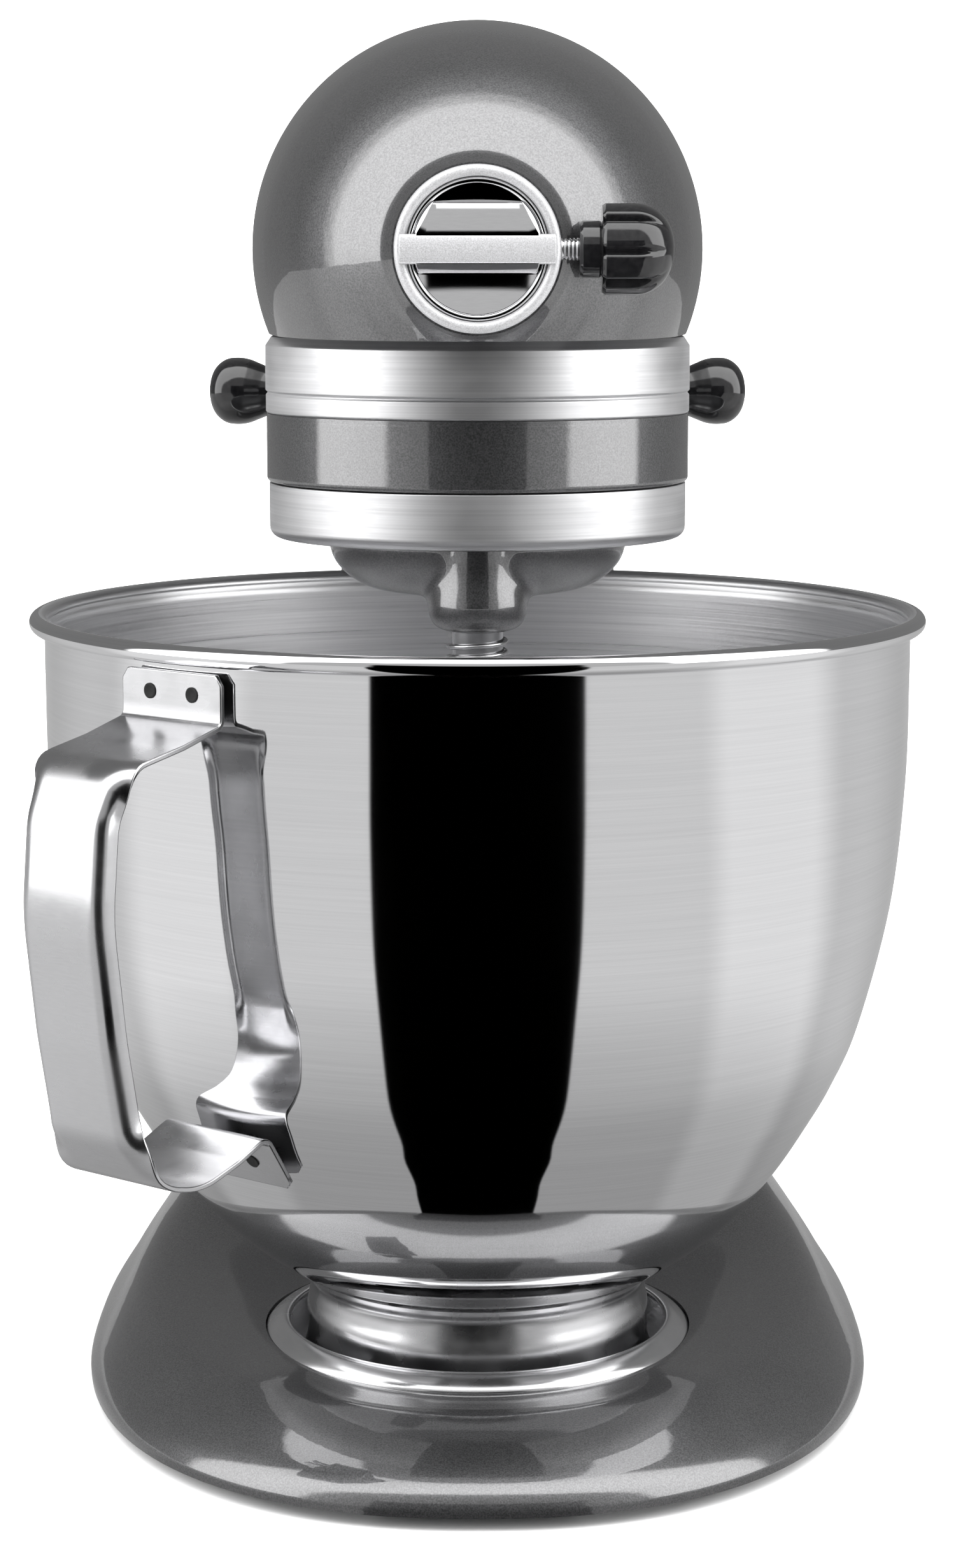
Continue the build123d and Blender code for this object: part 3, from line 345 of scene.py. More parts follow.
def softened(name, node, voxel, rounds, weight, material, body):
    """Copy of a casting with its corners flowed together, where weight(x, y, z) in mm is above 0."""
    source = frame["nodes"][node]
    piece = bpy.data.objects.new(name, source.data.copy())
    bpy.context.scene.collection.objects.link(piece)
    remesh = piece.modifiers.new("remesh", "REMESH")
    remesh.mode = "VOXEL"
    remesh.voxel_size = voxel * MM
    bpy.context.view_layer.update()
    apply_modifiers(piece)
    mesh = piece.data
    count = len(mesh.vertices)
    places = np.empty(count * 3)
    mesh.vertices.foreach_get("co", places)
    places = places.reshape(-1, 3) / MM
    pairs = np.empty(len(mesh.edges) * 2, dtype=np.int32)
    mesh.edges.foreach_get("vertices", pairs)
    first, second = pairs[0::2], pairs[1::2]
    valence = np.bincount(pairs, minlength=count).astype(float)
    pull = weight(places[:, 0], places[:, 1] - BOWL_Y / MM, places[:, 2])[:, None]
    for _ in range(rounds):
        around = np.empty_like(places)
        for axis in range(3):
            column = places[:, axis]
            around[:, axis] = (np.bincount(first, column[second], count)
                               + np.bincount(second, column[first], count)) / valence
        places += 0.5 * pull * (around - places)
    mesh.vertices.foreach_set("co", (places * MM).ravel())
    mesh.materials.clear()
    mesh.materials.append(material)
    for face in mesh.polygons:
        face.use_smooth = True
        face.material_index = 0
    mesh.update()
    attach(piece, body)
    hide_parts(node)
    return piece


def ramp_up(value, start, end):
    """0 below start and 1 above end, on a smooth step."""
    part = np.clip((value - start) / (end - start), 0.0, 1.0)
    return part * part * (3 - 2 * part)


# ------------------------------------------------------------------ materials
class Nodes:
    """Short ways to add nodes to a shader's tree."""

    def __init__(self, tree):
        self.nodes = tree.nodes
        self.links = tree.links

    def node(self, kind, inputs=None, **settings):
        node = self.nodes.new(kind)
        for key, value in settings.items():
            setattr(node, key, value)
        for key, value in (inputs or {}).items():
            if isinstance(value, bpy.types.NodeSocket):
                self.links.new(value, node.inputs[key])
            else:
                node.inputs[key].default_value = value
        return node

    def maths(self, operation, first, second=0.0):
        return self.node("ShaderNodeMath", {0: first, 1: second}, operation=operation).outputs[0]

    def step(self, value, low, high, before, after):
        """Smooth change from before to after, as the value goes from low to high."""
        return self.node("ShaderNodeMapRange", {0: value, 1: low, 2: high, 3: before, 4: after},
                         interpolation_type="SMOOTHSTEP").outputs[0]

    def split(self, vector):
        """The X, Y and Z of a vector."""
        return self.node("ShaderNodeSeparateXYZ", {0: vector}).outputs


class Shader(Nodes):
    """A Principled material and short ways to give it detail."""

    def __init__(self, name, color, metallic=0.0, roughness=0.5, **sockets):
        self.material = bpy.data.materials.new(name)
        self.material.use_nodes = True
        super().__init__(self.material.node_tree)
        self.surface = self.nodes["Principled BSDF"]
        self.surface.inputs["Base Color"].default_value = (*color, 1)
        self.surface.inputs["Metallic"].default_value = metallic
        self.surface.inputs["Roughness"].default_value = roughness
        for socket, value in sockets.items():
            self.surface.inputs[socket.replace("_", " ")].default_value = value
        self.coordinates = self.nodes.new("ShaderNodeTexCoord")

    def scaled(self, scale):
        return self.node("ShaderNodeMapping", {"Vector": self.coordinates.outputs["Object"],
                                               "Scale": scale}).outputs[0]

    def noise(self, vector, scale, detail=2.0, roughness=0.5):
        return self.node("ShaderNodeTexNoise", {"Vector": vector, "Scale": scale, "Detail": detail,
                                                "Roughness": roughness}).outputs[0]

    def spread(self, value, low, high, from_low=0.3, from_high=0.7):
        return self.node("ShaderNodeMapRange", {"Value": value, "From Min": from_low,
                                                "From Max": from_high, "To Min": low,
                                                "To Max": high}).outputs[0]

    def ramp(self, value, dark, light, low=0.3, high=0.7):
        node = self.node("ShaderNodeValToRGB", {"Fac": value})
        node.color_ramp.elements[0].position = low
        node.color_ramp.elements[0].color = (*dark, 1)
        node.color_ramp.elements[1].position = high
        node.color_ramp.elements[1].color = (*light, 1)
        return node.outputs[0]

    def feed(self, socket, value):
        self.links.new(value, self.surface.inputs[socket])

    def bump(self, height, strength, distance=0.0002):
        bump = self.node("ShaderNodeBump", {"Height": height, "Strength": strength,
                                            "Distance": distance})
        self.feed("Normal", bump.outputs[0])

    def turned_coordinates(self, around=1.0, fine=1.0):
        """Radius, height and angle about the bowl's axis, for marks that run round it."""
        x, y, z = self.split(self.coordinates.outputs["Object"])
        y = self.maths("SUBTRACT", y, BOWL_Y)
        squares = [self.maths("MULTIPLY", v, v) for v in (x, y)]
        radius = self.maths("POWER", self.maths("ADD", *squares), 0.5)
        angle = self.maths("ARCTAN2", y, x)
        joined = self.node("ShaderNodeCombineXYZ", {0: radius, 1: z, 2: angle})
        scaled = self.node("ShaderNodeMapping", {"Vector": joined.outputs[0],
                                                 "Scale": (fine, fine, around)})
        return scaled.outputs[0]


def paint_material():
    """Dark metallic enamel: fine flake under a gloss clear coat with a slight orange peel."""
    s = Shader("metallic_enamel", (0.11, 0.11, 0.113), metallic=0.85, roughness=0.36,
               Coat_Weight=1.0, Coat_Roughness=0.03, Coat_IOR=1.9)
    where = s.scaled((1, 1, 1))
    flake = s.noise(where, 2600.0, detail=1.0)
    broad = s.noise(where, 60.0, detail=3.0)
    s.feed("Base Color", s.ramp(flake, (0.075, 0.075, 0.077), (0.150, 0.150, 0.154)))
    s.feed("Roughness", s.spread(broad, 0.33, 0.40))
    peel = s.noise(where, 420.0, detail=2.0)
    peel_bump = s.node("ShaderNodeBump", {"Height": peel, "Strength": 0.10, "Distance": 0.00015})
    s.feed("Coat Normal", peel_bump.outputs[0])
    s.bump(flake, 0.35, 0.0001)
    return s.material


def brushed_material(name, color, roughness, direction):
    """Metal brushed along the plane across direction, with fine grooves and a satin sheen."""
    s = Shader(name, color, metallic=1.0, roughness=roughness, Anisotropic=0.55)
    scale = tuple(1500.0 if axis == direction else 6.0 for axis in "xyz")
    lines = s.noise(s.scaled(scale), 1.0, detail=6.0, roughness=0.65)
    broad = s.noise(s.scaled((30, 30, 60)), 1.0, detail=3.0)
    dark = tuple(c * 0.86 for c in color)
    light = tuple(min(1.0, c * 1.08) for c in color)
    s.feed("Base Color", s.ramp(lines, dark, light))
    s.feed("Roughness", s.spread(broad, roughness * 0.85, roughness * 1.2))
    s.bump(lines, 0.10, 0.00012)
    return s.material


def bowl_material():
    """Stainless steel: mirror outside with faint buffing rings, brushed round inside."""
    s = Shader("polished_bowl_steel", (0.76, 0.76, 0.77), metallic=1.0, roughness=0.05)
    rings = s.noise(s.turned_coordinates(around=1.2, fine=1400.0), 1.0, detail=5.0, roughness=0.7)
    haze = s.noise(s.scaled((14, 14, 8)), 1.0, detail=3.0)
    x, y, _ = s.split(s.coordinates.outputs["Object"])
    normal_x, normal_y, _ = s.split(s.coordinates.outputs["Normal"])
    across = s.maths("MULTIPLY", x, normal_x)
    along = s.maths("MULTIPLY", s.maths("SUBTRACT", y, BOWL_Y), normal_y)
    # Zero outside and one inside: the inner wall's normal points at the axis.
    inside = s.spread(s.maths("ADD", across, along), 1.0, 0.0, -0.004, 0.0)
    mirror_roughness = s.spread(haze, 0.025, 0.06)
    brushed_roughness = s.spread(rings, 0.26, 0.42)
    roughness = s.node("ShaderNodeMix", {0: inside, 2: mirror_roughness, 3: brushed_roughness})
    s.feed("Roughness", roughness.outputs[0])
    outer = s.ramp(rings, (0.72, 0.72, 0.73), (0.79, 0.79, 0.80))
    inner = s.ramp(rings, (0.66, 0.66, 0.67), (0.84, 0.84, 0.85))
    tone = s.node("ShaderNodeMix", {"Factor": inside}, data_type="RGBA")
    s.links.new(outer, tone.inputs[6])
    s.links.new(inner, tone.inputs[7])
    s.feed("Base Color", tone.outputs[2])
    s.bump(rings, s.spread(inside, 0.003, 0.14, 0.0, 1.0), 0.0001)
    return s.material


def polished_material(name, color, roughness):
    """Bright polished metal with faint haze and hairline scratches."""
    s = Shader(name, color, metallic=1.0, roughness=roughness)
    haze = s.noise(s.scaled((60, 60, 60)), 1.0, detail=4.0)
    hair = s.noise(s.scaled((300, 300, 2200)), 1.0, detail=3.0, roughness=0.7)
    s.feed("Roughness", s.spread(haze, roughness * 0.7, roughness * 1.5))
    s.feed("Base Color", s.ramp(hair, tuple(c * 0.95 for c in color), color))
    s.bump(hair, 0.012, 0.00008)
    return s.material


def gloss_plastic_material():
    """Moulded black plastic with a gloss skin."""
    s = Shader("gloss_black_plastic", (0.006, 0.006, 0.0065), roughness=0.09, Coat_Weight=0.6,
               Coat_Roughness=0.04)
    mould = s.noise(s.scaled((1, 1, 1)), 900.0, detail=3.0)
    s.feed("Base Color", s.ramp(mould, (0.004, 0.004, 0.0045), (0.009, 0.009, 0.0095)))
    s.feed("Roughness", s.spread(mould, 0.06, 0.13))
    s.bump(mould, 0.03, 0.0001)
    return s.material


def plain_material(name, color, roughness, metallic=0.0, grain=700.0, bump=0.15):
    """Dull cast, moulded or machined surface with a fine grain."""
    s = Shader(name, color, metallic=metallic, roughness=roughness)
    grains = s.noise(s.scaled((1, 1, 1)), grain, detail=4.0)
    s.feed("Base Color", s.ramp(grains, tuple(c * 0.75 for c in color),
                                tuple(min(1.0, c * 1.2) for c in color)))
    s.feed("Roughness", s.spread(grains, roughness * 0.85, min(1.0, roughness * 1.15)))
    s.bump(grains, bump, 0.0002)
    return s.material


PAINT = paint_material()
BRUSHED = brushed_material("brushed_trim", (0.72, 0.72, 0.73), 0.38, "z")
SATIN = plain_material("satin_chrome", (0.50, 0.50, 0.51), 0.38, metallic=0.5, grain=4000.0, bump=0.05)
PLATE = brushed_material("brushed_plate", (0.62, 0.62, 0.63), 0.2, "z")
BOWL_STEEL = bowl_material()
HANDLE_STEEL = polished_material("handle_steel", (0.56, 0.56, 0.57), 0.23)
CHROME = polished_material("bright_chrome", (0.80, 0.80, 0.81), 0.045)
STEEL = polished_material("machined_steel", (0.60, 0.60, 0.61), 0.25)
BLACK = gloss_plastic_material()
RUBBER = plain_material("black_rubber", (0.02, 0.02, 0.02), 0.75, grain=900.0)
DARK_PLASTIC = plain_material("moulded_plastic", (0.05, 0.05, 0.055), 0.5)
IRON = plain_material("laminated_iron", (0.25, 0.25, 0.26), 0.45, metallic=0.9, grain=500.0)
BRONZE = plain_material("machined_bronze", (0.55, 0.38, 0.18), 0.3, metallic=1.0, bump=0.05)
COPPER = plain_material("lacquered_copper", (0.60, 0.28, 0.16), 0.3, metallic=1.0, bump=0.1)
ALUMINIUM = plain_material("cast_aluminium", (0.55, 0.55, 0.56), 0.5, metallic=1.0, grain=400.0)
CARBON = plain_material("sintered_carbon", (0.03, 0.03, 0.03), 0.7)
LIP = polished_material("rolled_lip", (0.74, 0.74, 0.75), 0.2)
# Near-black painted shade, used for the dimples of the spot welds.
SHADOW_GAP = plain_material("dark_gap", (0.01, 0.01, 0.01), 0.9)

SLOT_MATERIALS = {
    "paint": PAINT,
    "brushed_trim": BRUSHED,
    "polished_steel": HANDLE_STEEL,
    "chrome": CHROME,
    "brushed_plate": PLATE,
    "steel": STEEL,
    "laminated_iron": IRON,
    "black_plastic": BLACK,
    "dark_plastic": DARK_PLASTIC,
    "carbon": CARBON,
    "rubber": RUBBER,
    "bronze": BRONZE,
    "copper": COPPER,
    "cast_aluminium": ALUMINIUM,
}
for part in frame["record"]["subparts"]:
    node = frame["nodes"][part["node"]]
    node.data.materials.clear()
    node.data.materials.append(SLOT_MATERIALS[part["material_slot"]])


# ------------------------------------------------------------------ camera and studio
LENS = 78.9
PITCH = 8.72                 # degrees that the camera looks down
CAMERA_DISTANCE = 0.861      # metres in front of the bowl's axis
CAMERA_HEIGHT = 0.295

# Brightness of the studio's walls, then of the floor as reflections see it.
DIM_WALL = 0.55
BRIGHT_WALL = 3.2
BEHIND = 0.20
FLOOR_GLOW = 0.35
FLOOR_SIDE = 0.74
FLOOR_BRIGHT = 0.92
FLOOR_REAR = 0.66
FLOOR_BEHIND = 0.50


def aim(thing, place, target):
    """Put a camera or light at a place and point it at a target."""
    thing.location = place
    thing.rotation_mode = "QUATERNION"
    thing.rotation_quaternion = (Vector(target) - Vector(place)).to_track_quat("-Z", "Y")


def make_camera():
    data = bpy.data.cameras.new("camera")
    data.sensor_width = 36.0
    data.lens = LENS
    camera = bpy.data.objects.new("camera", data)
    bpy.context.scene.collection.objects.link(camera)
    pitch = math.radians(PITCH)
    place = Vector((0.0, BOWL_Y - CAMERA_DISTANCE, CAMERA_HEIGHT))
    aim(camera, place, place + Vector((0, math.cos(pitch), -math.sin(pitch))))
    data.clip_start = 0.01
    bpy.context.scene.camera = camera


def area_light(name, place, target, size, power):
    """Soft light that neither the camera nor a reflection sees."""
    data = bpy.data.lights.new(name, "AREA")
    data.shape = "RECTANGLE"
    data.size, data.size_y = size
    data.energy = power
    light = bpy.data.objects.new(name, data)
    bpy.context.scene.collection.objects.link(light)
    aim(light, place, target)
    light.visible_camera = False
    light.visible_glossy = False


def stage_sheet(name, corners, material):
    """One flat face of the studio, which isn't part of the object."""
    mesh = bpy.data.meshes.new(name)
    mesh.from_pydata(corners, [], [(0, 1, 2, 3)])
    mesh.materials.append(material)
    sheet = bpy.data.objects.new(name, mesh)
    bpy.context.scene.collection.objects.link(sheet)
    return sheet


def make_surroundings():
    """World as reflections see it: a bright ring beside and above, dim in front, grey behind."""
    world = bpy.data.worlds.new("studio")
    bpy.context.scene.world = world
    world.use_nodes = True
    w = Nodes(world.node_tree)
    x, y, z = w.split(w.node("ShaderNodeTexCoord").outputs["Generated"])
    ahead = w.maths("MULTIPLY", y, -1.0)
    around = w.maths("DEGREES", w.maths("ARCTAN2", w.maths("ABSOLUTE", x), ahead))
    height = w.maths("DEGREES", w.maths("ARCSINE", z))
    # The angle between a direction and the way to the camera: 0 in front, 180 behind.
    off_axis = w.maths("DEGREES", w.maths("ARCCOSINE", ahead))

    room = w.step(off_axis, 47.0, 53.0, DIM_WALL, BRIGHT_WALL)
    room = w.maths("ADD", room, w.step(off_axis, 93.0, 99.0, 0.0, BEHIND - BRIGHT_WALL))
    # The dark gap between the side walls, where the camera stands.
    gap = w.maths("MULTIPLY", w.step(around, 25.0, 27.5, 1.0, 0.0),
                  w.step(height, 18.0, 21.0, 1.0, 0.0))
    room = w.maths("MULTIPLY", room, w.maths("SUBTRACT", 1.0, gap))
    strength = w.maths("MULTIPLY", room, w.step(height, -9.0, -6.0, FLOOR_GLOW, 1.0))
    background = w.nodes["Background"]
    background.inputs["Color"].default_value = (1, 1, 1, 1)
    w.links.new(strength, background.inputs["Strength"])


def make_reflected_floor():
    """Floor as reflections see it: dark in front, grey at the sides, darker near and behind."""
    y = BOWL_Y
    s = Shader("reflected_floor", (0.0, 0.0, 0.0), roughness=1.0)
    s.surface.inputs["Specular IOR Level"].default_value = 0.0
    s.surface.inputs["Emission Color"].default_value = (1, 1, 1, 1)

    x, along, _ = s.split(s.coordinates.outputs["Object"])
    sideways = s.maths("ABSOLUTE", x)
    ahead = s.maths("SUBTRACT", y, along)
    around = s.maths("DEGREES", s.maths("ARCTAN2", sideways, ahead))
    squares = [s.maths("MULTIPLY", v, v) for v in (sideways, ahead)]
    away = s.maths("POWER", s.maths("ADD", *squares), 0.5)
    # The dark gap spreads from a point just in front of the bowl's axis.
    gap = s.maths("DEGREES", s.maths("ARCTAN2", s.maths("SUBTRACT", sideways, 0.004),
                                     s.maths("SUBTRACT", ahead, 0.045)))
    tone = s.step(gap, 26.5, 27.6, 0.0, FLOOR_SIDE)
    for start, end, change in ((56.0, 66.0, FLOOR_BRIGHT - FLOOR_SIDE),
                               (92.0, 108.0, FLOOR_REAR - FLOOR_BRIGHT),
                               (115.0, 150.0, FLOOR_BEHIND - FLOOR_REAR)):
        tone = s.maths("ADD", tone, s.step(around, start, end, 0.0, change))
    # Darker near the machine: painted shadow of the machine on the floor, as reflections see it.
    tone = s.maths("MULTIPLY", tone, s.step(away, 0.10, 0.34, 0.50, 1.0))
    s.feed("Emission Strength", tone)
    height = 0.0006
    floor = stage_sheet("reflected_floor", [(-2.6, y - 2.4, height), (2.6, y - 2.4, height),
                                            (2.6, y + 2.4, height), (-2.6, y + 2.4, height)],
                        s.material)
    floor.visible_camera = False
    floor.visible_diffuse = False
    floor.visible_shadow = False


def make_backdrop():
    """White wall behind the machine: the camera sees it, but reflections don't."""
    s = Shader("white_backdrop", (0.9, 0.9, 0.9), roughness=1.0)
    s.surface.inputs["Emission Color"].default_value = (1, 1, 1, 1)
    s.surface.inputs["Emission Strength"].default_value = 1.0
    y = BOWL_Y + 5
    backdrop = stage_sheet("backdrop", [(-9, y, -1), (9, y, -1), (9, y, 8), (-9, y, 8)], s.material)
    backdrop.visible_glossy = False
    backdrop.visible_diffuse = False
    backdrop.visible_shadow = False


def make_floor():
    """Pale floor that glows as the backdrop does far away, less near the machine, and not under it; the
    missing glow near and under it is a painted contact shadow.
    """
    s = Shader("pale_floor", (0.86, 0.86, 0.86), roughness=0.7)
    s.surface.inputs["Specular IOR Level"].default_value = 0.2
    s.surface.inputs["Emission Color"].default_value = (1, 1, 1, 1)
    # Distance from the middle of the machine, where its outline on the floor is about 1.
    moved = s.node("ShaderNodeVectorMath", {0: s.coordinates.outputs["Object"]}, operation="ADD")
    moved.inputs[1].default_value = (0, -(BOWL_Y + 0.058), 0)
    shaped = s.node("ShaderNodeVectorMath", {0: moved.outputs[0]}, operation="MULTIPLY")
    shaped.inputs[1].default_value = (1 / 0.106, 1 / 0.155, 0)
    away = s.node("ShaderNodeVectorMath", {0: shaped.outputs[0]}, operation="LENGTH").outputs["Value"]
    # Little glow near the machine and none under it: painted contact shadow.
    near = s.spread(away, 0.0, 0.38, 0.97, 1.07)
    far = s.spread(away, 0.0, 0.62, 5.0, 12.0)
    s.feed("Emission Strength", s.maths("ADD", near, far))
    speckle = s.noise(s.scaled((1, 1, 1)), 90.0, detail=4.0)
    s.feed("Base Color", s.ramp(speckle, (0.88, 0.88, 0.88), (0.90, 0.90, 0.90)))
    reach = 14.0
    floor = stage_sheet("floor", [(-reach, -reach, 0), (reach, -reach, 0), (reach, reach, 0),
                                  (-reach, reach, 0)], s.material)
    floor.visible_glossy = False


def make_studio():
    bpy.context.scene.view_settings.view_transform = "Standard"
    make_surroundings()
    make_backdrop()
    make_reflected_floor()
    make_floor()
    y = BOWL_Y
    area_light("key_softbox", (0, y - 0.25, 1.5), (0, y + 0.1, 0), (2.2, 1.8), 30)
    area_light("front_fill", (0, y - 1.6, 0.9), (0, y, 0.1), (1.6, 1.0), 8)


make_camera()
make_studio()


# ------------------------------------------------------------------ bowl
def bowl_curve(inset):
    """Bowl wall from the rim down to the middle of the floor, as (radius, height)."""
    wall = [(108.2, 204.0), (108.15, 190), (107.6, 165), (104.4, 134.3), (97.1, 104.4), (90.8, 89.2),
            (85.1, 79.0), (78.6, 68.7), (71.8, 59.9), (65.3, 52.9), (59.3, 47.6), (52.0, 42.4),
            (44.5, 38.0), (34, 33.6), (20, 31.0), (0.0, 30.6)]
    curve = smooth_curve(wall, steps=8)
    shifted = []
    for index, point in enumerate(curve):
        before = curve[max(index - 1, 0)]
        after = curve[min(index + 1, len(curve) - 1)]
        along = (after - before).normalized()
        inward = Vector((along.y, -along.x))
        shifted.append(point + inward * inset)
    shifted[-1].x = 0.0
    return shifted


def make_bowl():
    """Spun bowl with a rolled bead round its rim."""
    wall = 1.2
    outer = bowl_curve(0.0)
    inner = bowl_curve(wall)
    bead = arc((109.7, 205.7), 2.28, -131, 200, 26)
    profile = list(reversed(outer)) + bead + inner
    lathe("bowl_shell", profile, BOWL_CENTRE, Z_AXIS, BOWL_STEEL, "bowl_unit",
          ("bowl",), segments=256, flat_angle=50)


def make_bowl_foot():
    """Waisted ring under the bowl, which the clamp holds."""
    outside = smooth_curve([(44.9, 38.6), (44.2, 37.0), (43.2, 34.6), (43.5, 31.2), (44.1, 27.6),
                            (43.9, 23.0), (44.2, 19.0), (45.4, 15.6)], steps=6)
    profile = [Vector((43.4, 38.2))] + outside + [Vector((45.2, 14.6)), Vector((42.6, 14.6)),
                                                  Vector((42.2, 30))]
    lathe("foot_ring", profile, BOWL_CENTRE, Z_AXIS, HANDLE_STEEL, "bowl_unit",
          ("bowl_foot",), segments=192, closed=True)


HANDLE_TURN = math.radians(39.3)     # the handle stands this far left of the front
HANDLE_OUT = Vector((-math.sin(HANDLE_TURN), -math.cos(HANDLE_TURN), 0))
HANDLE_ACROSS = Vector((math.cos(HANDLE_TURN), -math.sin(HANDLE_TURN), 0))
STRAP_HALF = 15.6                    # half the flat width of the strap, in mm
STRAP_FLAT = 9.4                     # where its edge begins to curl
STRAP_BEND = 4.2                     # length of the curled part
STRAP_THICKNESS = 1.3
STRAP_CORNER = 1.8
STRAP_SAMPLES = 28


def ease(value):
    """Smooth step from 0 to 1."""
    value = min(1.0, max(0.0, value))
    return value * value * (3 - 2 * value)


def evenly(path, spacing):
    """The same path with points added, less than two spacings apart."""
    dense = [path[0]]
    for point in path[1:]:
        start = dense[-1].copy()
        pieces = max(1, int((point - start).length / spacing))
        dense += [start.lerp(point, k / pieces) for k in range(1, pieces + 1)]
    return dense


def curled(reach, angle):
    """Sideways place, depth and tilt of a point of the strap, reach from its middle line."""
    if reach <= STRAP_FLAT or angle < 1e-4:
        return reach, 0.0, 0.0
    tilt = angle * min(1.0, (reach - STRAP_FLAT) / STRAP_BEND)
    radius = STRAP_BEND / angle
    extra = max(0.0, reach - STRAP_FLAT - STRAP_BEND)
    lateral = STRAP_FLAT + radius * math.sin(tilt) + extra * math.cos(tilt)
    depth = radius * (1 - math.cos(tilt)) + extra * math.sin(tilt)
    return lateral, depth, tilt


def strap_section(point, normal, half, angle):
    """Outline of the strap across one point of its path: its outer face, then its inner face."""
    samples = [-half + 2 * half * k / STRAP_SAMPLES for k in range(STRAP_SAMPLES + 1)]
    ring = []
    for layer, order in ((STRAP_THICKNESS, samples), (0.0, samples[::-1])):
        lift = layer - STRAP_THICKNESS / 2
        for a in order:
            sign = 1 if a >= 0 else -1
            lateral, depth, tilt = curled(abs(a), angle)
            lateral += lift * math.sin(tilt)
            depth -= lift * math.cos(tilt)
            plane = point - normal * depth
            ring.append((HANDLE_OUT * plane.x + Z_AXIS * plane.y + HANDLE_ACROSS * lateral * sign) * MM
                        + BOWL_CENTRE)
    return ring


def make_handle():
    """Bent steel strap: flat flanges on the bowl, edges curled in along the grip."""
    corners = [(109.5, 202.0), (109.5, 190.4), (122, 187.0), (139.5, 183.6), (144.6, 172),
               (146.6, 150), (143.0, 122), (138.6, 99), (130.5, 87.6), (118, 84.8), (105.5, 88.6),
               (96.0, 92.6), (86.8, 78.6)]
    path = evenly(rounded(corners, [2.2, 0, 9, 20, 60, 80, 12, 14, 20, 14, 3.2, 0], steps=7), 2.0)
    lengths = [0.0]
    for a, b in zip(path, path[1:]):
        lengths.append(lengths[-1] + (b - a).length)
    total = lengths[-1]

    sections = []
    for index, point in enumerate(path):
        before = path[max(index - 1, 0)]
        after = path[min(index + 1, len(path) - 1)]
        along = (after - before).normalized()
        normal = Vector((-along.y, along.x))
        if normal.x < 0 and index < 3:
            normal = -normal
        s = lengths[index]
        curl = ease((s - 36) / 16) * ease((total - 52 - s) / 20)
        # The strap's ends have rounded corners.
        short = STRAP_CORNER - min(s, total - s, STRAP_CORNER)
        trim = STRAP_CORNER - math.sqrt(max(0.0, STRAP_CORNER ** 2 - short ** 2))
        sections.append(strap_section(point, normal, STRAP_HALF - trim, math.radians(84) * curl))
    verts = [v for ring in sections for v in ring]
    faces = loft_faces(len(sections), len(sections[0]))
    piece = add_piece("handle_strap", verts, faces, HANDLE_STEEL, "bowl_unit",
                      ("bowl_handle",), flat_angle=50)
    soften_edges(piece, 0.3, 2, 50)

    # Spot welds: a shallow ring with a dark centre; the near-black material is painted shade in the
    # dimple.
    spots = [((110.4, 197.0), Vector((1, 0))), ((91.9, 84.6), Vector((0.87, -0.49)))]
    for row, (place, facing) in enumerate(spots):
        for side in (-1, 1):
            origin = (HANDLE_OUT * place[0] + Z_AXIS * place[1] + HANDLE_ACROSS * 6.6 * side) * MM
            origin += BOWL_CENTRE
            axis = (HANDLE_OUT * facing.x + Z_AXIS * facing.y).normalized()
            lathe(f"weld_spot_{row}_{side + 1}",
                  [(0, -0.25), (0.9, -0.2), (1.25, 0.02), (1.5, 0.10), (1.8, 0.0), (1.8, -0.3)],
                  origin, axis, SHADOW_GAP, "bowl_unit", segments=24)


# Loops of the pedestal's skin from the rim to the neck, in mm from the bowl's axis:
# front (distance, height), side (half width, height), rear (distance, height) and middle distance.
PEDESTAL_LOOPS = [
    (-93.4, 3.5, 104.0, 3.5, 214.0, 3.5, 50),
    (-93.4, 6.0, 104.0, 6.0, 214.0, 6.0, 50),
    (-91.6, 9.6, 102.6, 10.0, 212.6, 9.6, 52),
    (-87.0, 12.8, 100.4, 13.6, 211.2, 14.0, 54),
    (-79.0, 16.2, 97.6, 17.6, 210.0, 20.0, 56),
    (-69.0, 19.0, 95.0, 21.4, 209.0, 28.0, 60),
    (-60.0, 20.4, 92.2, 25.0, 208.2, 36.0, 64),
    (-40.0, 20.9, 89.0, 28.6, 207.4, 44.0, 72),
    (-5.0, 21.0, 84.8, 32.6, 206.6, 54.0, 84),
    (28.0, 21.8, 80.0, 37.6, 205.6, 64.0, 98),
    (52.0, 26.0, 74.4, 44.6, 204.6, 76.0, 110),
    (68.5, 36.0, 68.0, 54.5, 203.6, 90.0, 122),
    (81.5, 52.0, 61.2, 68.5, 202.6, 105.0, 132),
    (92.5, 74.0, 54.5, 88.0, 201.6, 122.0, 140),
    (102.5, 100.0, 49.0, 112.0, 200.8, 142.0, 146),
    (110.2, 132.0, 44.6, 142.0, 200.0, 166.0, 151),
    (115.6, 168.0, 41.6, 174.0, 199.3, 190.0, 155),
    (118.0, 205.0, 40.3, 207.0, 198.6, 214.0, 157),
    (118.5, 236.0, 40.0, 236.0, 198.0, 236.0, 158),
]


def pedestal_loop(front, front_z, half, side_z, rear, rear_z, centre, around):
    """One loop of the skin: squarish low on the foot, and round up on the column."""
    power = 2 / (2.3 - 0.3 * min(1.0, max(0.0, (front_z - 20) / 100)))
    loop = []
    for k in range(around):
        angle = 2 * math.pi * k / around
        sine, cosine = math.sin(angle), math.cos(angle)
        x = half * math.copysign(abs(sine) ** power, sine)
        share = abs(cosine) ** power
        if cosine >= 0:
            y = centre - (centre - front) * share
            z = front_z + (side_z - front_z) * sine ** 4
        else:
            y = centre + (rear - centre) * share
            z = side_z + (rear_z - side_z) * cosine ** 2
        loop.append(BOWL_CENTRE + Vector((x, y, z)) * MM)
    return loop


